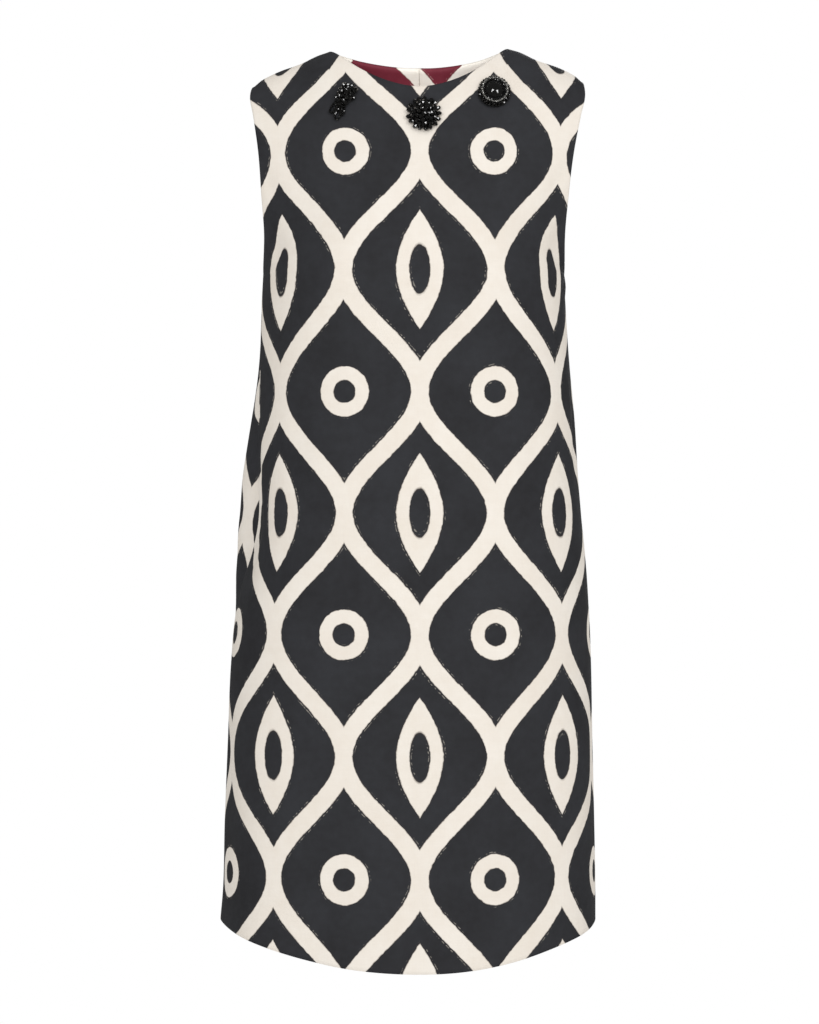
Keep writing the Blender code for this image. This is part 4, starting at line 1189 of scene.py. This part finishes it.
def printed_cloth(tree, shift, dark_colours, light_colours, ink, thread, roughness):
    """Smooth cotton, woven and then screen printed: a mottled dark ground, edges that waver by
    half a millimetre, a browner line where the ink bled, and pale threads where it missed."""
    place = on_the_cut(tree)
    inside = ogee_print(tree, place, shift)
    cloud, fine, gaps, stretches = (
        add(tree, "TexNoise", place, scale, detail) for scale, detail in PRINT_NOISE)
    mottle = add(tree, "Math", fine, MOTTLE_SHARE, cloud, operation="MULTIPLY_ADD")
    mottle = add(tree, "MapRange", mottle, *MOTTLE_LEVELS)
    cover = add(tree, "MapRange", inside, -PRINT_EDGE, PRINT_EDGE)
    grounds = [
        add(tree, "Mix", mottle, *pair, data_type="RGBA") for pair in (dark_colours, light_colours)]
    colour = add(tree, "Mix", cover, *grounds, data_type="RGBA")

    # Ink that bled along the edge, more in some places than in others. Then bare threads, a
    # broken line 2 mm inside the dark. Each line sets in and ends between two distances.
    patchy = add(tree, "MapRange", fine, 0.35, 0.62, 0.2, 0.6)
    gaps = add(tree, "MapRange", gaps, 0.5, 0.6)
    stretches = add(tree, "MapRange", stretches, 0.5, 0.58, 0, 0.5)
    for sets_in, ends, tint, shares in (
            ((-0.9, 0.1), (0.1, 0.9), ink, (patchy,)),
            ((-2.3, -2), (-1.5, -1.2), thread, (gaps, stretches))):
        line = add(tree, "MapRange", inside, *ends, 1, 0)
        for share in (add(tree, "MapRange", inside, *sets_in), *shares):
            line = add(tree, "Math", line, share, operation="MULTIPLY")
        colour = add(tree, "Mix", line, colour, tint, data_type="RGBA")

    # Threads 0.5 mm apart along both grains, with slubs of about 1.5 mm by 20 mm. Where the weave
    # lies low the colour is darkened a little: painted shade between the threads.
    parts = add(tree, "SeparateXYZ", place)
    weave = None
    for axis, squeeze in (("X", (0.66, 0.05, 1)), ("Y", (0.05, 0.66, 1))):
        run = add(tree, "Math", parts.outputs[axis], math.tau / THREAD, operation="MULTIPLY")
        run = add(tree, "Math", run, operation="SINE")
        slub = add(tree, "VectorMath", place, squeeze, operation="MULTIPLY")
        slub = add(tree, "TexNoise", slub, 1, 2)
        both = add(tree, "Math", run, THREAD_SHARE, slub, operation="MULTIPLY_ADD")
        weave = both if weave is None else add(tree, "Math", weave, both, operation="ADD")
    # Painted shade: up to 3.5 % darker where the weave sinks
    weave_shade = add(tree, "MapRange", weave, 0.6, 1.4, 0.965, 1.03)
    colour = add(tree, "Mix", weave_shade, "#000000", colour, data_type="RGBA")
    return add(tree, "BsdfPrincipled", named={
        "Base Color": colour,
        "Roughness": add(tree, "MapRange", cover, 0, 1, roughness - 0.06, roughness),
        "Normal": add(tree, "Bump", named={
            "Height": weave, "Strength": 0.35, "Distance": 0.12 * MM}),
        "Specular IOR Level": 0.28, "Sheen Weight": 0.03})


def cut_jet(tree):
    """Jet-black glass, pressed, fire polished and lustred: sharp facets, white glints, a little
    dust. The oxide of the lustre lifts the IOR above that of bare glass."""
    dust, black = speckled(tree, 900, 3, 0.55, 0.8, "#0b0a09", "#17140f")
    return add(tree, "BsdfPrincipled", named={
        "Base Color": black, "IOR": 2.1,
        "Roughness": add(tree, "MapRange", dust, 0.4, 0.75, 0.02, 0.12)})


def black_felt(tree):
    """Wool felt, dyed black and pressed: fuzzy and dull, with a pale bloom on its fibres."""
    fibre, black = speckled(tree, 1800, 4, 0.3, 0.7, "#0d0c0d", "#1b1a1b")
    return add(tree, "BsdfPrincipled", named={
        "Base Color": black, "Roughness": 0.95, "Sheen Weight": 0.15,
        "Normal": add(tree, "Bump", named={
            "Height": fibre, "Strength": 0.6, "Distance": 0.2 * MM})})


def silvered_glass(tree):
    """Glass seed beads, silvered inside: bright glints between dark gaps, a little tarnished."""
    _, silver = speckled(tree, 420, 2, 0.35, 0.65, "#ebeae5", "#6b6a66")
    return add(tree, "BsdfPrincipled", named={
        "Base Color": silver, "Metallic": 0.8, "Roughness": 0.22})


def lacquered_zinc(tree):
    """Zinc, die cast and lacquered black: satin, with the grain of the casting under it."""
    grain, lacquer = speckled(tree, 1400, 4, 0.4, 0.7, "#4a4a4d", "#77777b")
    return add(tree, "BsdfPrincipled", named={
        "Base Color": lacquer, "Metallic": 1,
        "Roughness": add(tree, "MapRange", grain, 0.35, 0.7, 0.28, 0.5),
        "Normal": add(tree, "Bump", named={
            "Height": grain, "Strength": 0.2, "Distance": 0.05 * MM})})


def woven_tape(tree):
    """Polyester tape, woven in twill and dyed black: diagonal ribs 0.8 mm apart, with a
    painted highlight on their crests and painted shade between them.
    """
    parts = add(tree, "SeparateXYZ", on_the_cut(tree))
    run = add(tree, "Math", parts.outputs["Y"], 0.6, parts.outputs["X"], operation="MULTIPLY_ADD")
    run = add(tree, "Math", run, math.tau / TAPE_RIB, operation="MULTIPLY")
    rib = add(tree, "Math", run, operation="SINE")
    # Painted light and shade: lighter on the ribs' crests, darker in the grooves
    rib_shade = add(tree, "MapRange", rib, -1, 1)
    return add(tree, "BsdfPrincipled", named={
        "Base Color": add(tree, "Mix", rib_shade, "#19191b", "#2b2b2e", data_type="RGBA"),
        "Normal": add(tree, "Bump", named={
            "Height": rib, "Strength": 0.5, "Distance": 0.1 * MM}),
        "Roughness": 0.8, "Sheen Weight": 0.2})


def floor_paint(tree):
    """Matt floor paint, rolled on: almost white, with broad faint clouds from the roller."""
    _, white = speckled(tree, 1.2, 4, 0.3, 0.7, "#f3f2f0", "#f8f7f5")
    return add(tree, "BsdfPrincipled", named={
        "Base Color": white, "Roughness": 0.8,
        "Emission Color": "#ffffff", "Emission Strength": 0.4})


# ---- stage, lights, camera

FLOOR_Z = -4300
FLOOR_RADIUS = 6000
CAMERA_BACK = 3500
CAMERA_X = -10
CAMERA_Z = -459
FRAME_HEIGHT = 1024
SENSOR = 36
LIGHTS = (
    # name, place and target in metres, size, watts, seen in gloss
    ("key", (2, -2.75, 1), (0, 0, -0.4), 1.15, 27, True),
    ("window", (-0.45, -3.2, 1.45), (0, 0, -0.3), 0.6, 6.5, True),
    ("fill", (-1.5, -3.2, 0.4), (0, 0, -0.45), 0.95, 21, True),
    ("low", (0.7, -3.4, -1.2), (0, 0, -0.5), 0.7, 9.5, False),
    ("top", (0.1, -1.5, 2.3), (0, 0, -0.1), 0.9, 8, False),
    ("back", (0.6, 3.2, 0.8), (0, 0, -0.4), 1.2, 40, True),
    ("neck", (0.1, -1.6, 1), (0, 0.06, -0.05), 0.5, 14, False),
)
ROOM = 0.56
ROOM_IN_GLOSS = 0.06


def make_stage():
    """A round pale floor that gloss doesn't see, far enough down to leave the hem in view."""
    build = bmesh.new()
    bmesh.ops.create_circle(
        build, cap_ends=True, segments=96, radius=FLOOR_RADIUS * MM,
        matrix=Matrix.Translation(Vector((0, 0, FLOOR_Z)) * MM))
    paint = made_of("floor_paint", floor_paint)
    floor = in_scene("floor", mesh_of(build, "floor", paint))
    floor.visible_glossy = False


def soft_box(name, place, target, size, watts, seen_in_gloss):
    """A square soft light that faces a place."""
    light = bpy.data.lights.new(name, "AREA")
    light.size = size
    light.energy = watts
    box = in_scene(name, light)
    box.location = place
    box.rotation_mode = "QUATERNION"
    box.rotation_quaternion = (Vector(target) - Vector(place)).to_track_quat("-Z", "Y")
    box.visible_glossy = seen_in_gloss
    return box


def make_lights(lined):
    """Soft studio light: a key from the right, fills, and a pale room that gloss sees dark. The
    last light is for the pieces that line the neck."""
    for light in LIGHTS:
        neck = soft_box(*light)
    receivers = bpy.data.collections.new("lit_by_neck")
    for piece in lined:
        receivers.objects.link(piece)
    neck.light_linking.receiver_collection = receivers
    world = bpy.data.worlds.new("studio")
    bpy.context.scene.world = world
    world.use_nodes = True
    tree = world.node_tree
    tree.nodes.clear()
    path = add(tree, "LightPath")
    room = add(tree, "MapRange", path.outputs["Is Glossy Ray"], 0, 1, ROOM, ROOM_IN_GLOSS)
    wall = add(tree, "Math", path.outputs["Is Camera Ray"], room, operation="MAXIMUM")
    add(tree, "OutputWorld", add(tree, "Background", "#ffffff", wall))
    bpy.context.scene.view_settings.view_transform = "Standard"


def make_camera():
    """A level camera in front of the dress, a little left of its middle."""
    camera = bpy.data.cameras.new("camera")
    camera.sensor_width = SENSOR
    camera.lens = SENSOR * CAMERA_BACK / FRAME_HEIGHT
    camera.clip_end = 100
    eye = in_scene("camera", camera)
    eye.location = (CAMERA_X * MM, -CAMERA_BACK * MM, CAMERA_Z * MM)
    eye.rotation_euler = (math.radians(90), 0, 0)
    bpy.context.scene.camera = eye


# ---- the whole dress

def main():
    """Dress the frame."""
    outside = made_of(
        "printed_cotton_sateen", printed_cloth, OUTER_SHIFT, ("#2a2a2d", "#323337"),
        ("#f1eae0", "#ebe2d6"), "#4b3f37", "#b9b2a6", 0.8)
    inside = made_of(
        "printed_lining_satin", printed_cloth, LINING_SHIFT, ("#702231", "#7c2f3d"),
        ("#fdf9f0", "#f6efe3"), "#6a4034", "#c9a9a6", 0.55)
    tape = made_of("polyester_twill", woven_tape)
    zinc = made_of("lacquered_zinc", lacquered_zinc)
    jet = made_of("lustred_jet_glass", cut_jet)
    felt = made_of("pressed_wool_felt", black_felt)
    silvered = made_of("silvered_seed_glass", silvered_glass)
    front, back = Cloth(FRONT), Cloth(BACK)
    share_seams(front, back)
    make_panel("front", front, slice(None), [outside, inside])
    make_panel("back_left", back, slice(0, MIDDLE + 1), [outside, inside])
    make_panel("back_right", back, slice(MIDDLE, None), [outside, inside])
    lined = [
        make_lining("back_neck_lining_left", back, slice(MIDDLE - NECK_STEPS, MIDDLE + 1), inside),
        make_lining("back_neck_lining_right", back, slice(MIDDLE, MIDDLE + NECK_STEPS + 1), inside)]
    make_zip_tape(back, tape)
    make_zip_teeth(back, zinc)
    seat = slider_frame(back)
    make_slider(seat, zinc)
    make_pull(seat, zinc)
    for name in ORNAMENTS:
        make_ornament(front, name, jet, felt, silvered)
    make_stage()
    make_lights(lined)
    make_camera()


main()
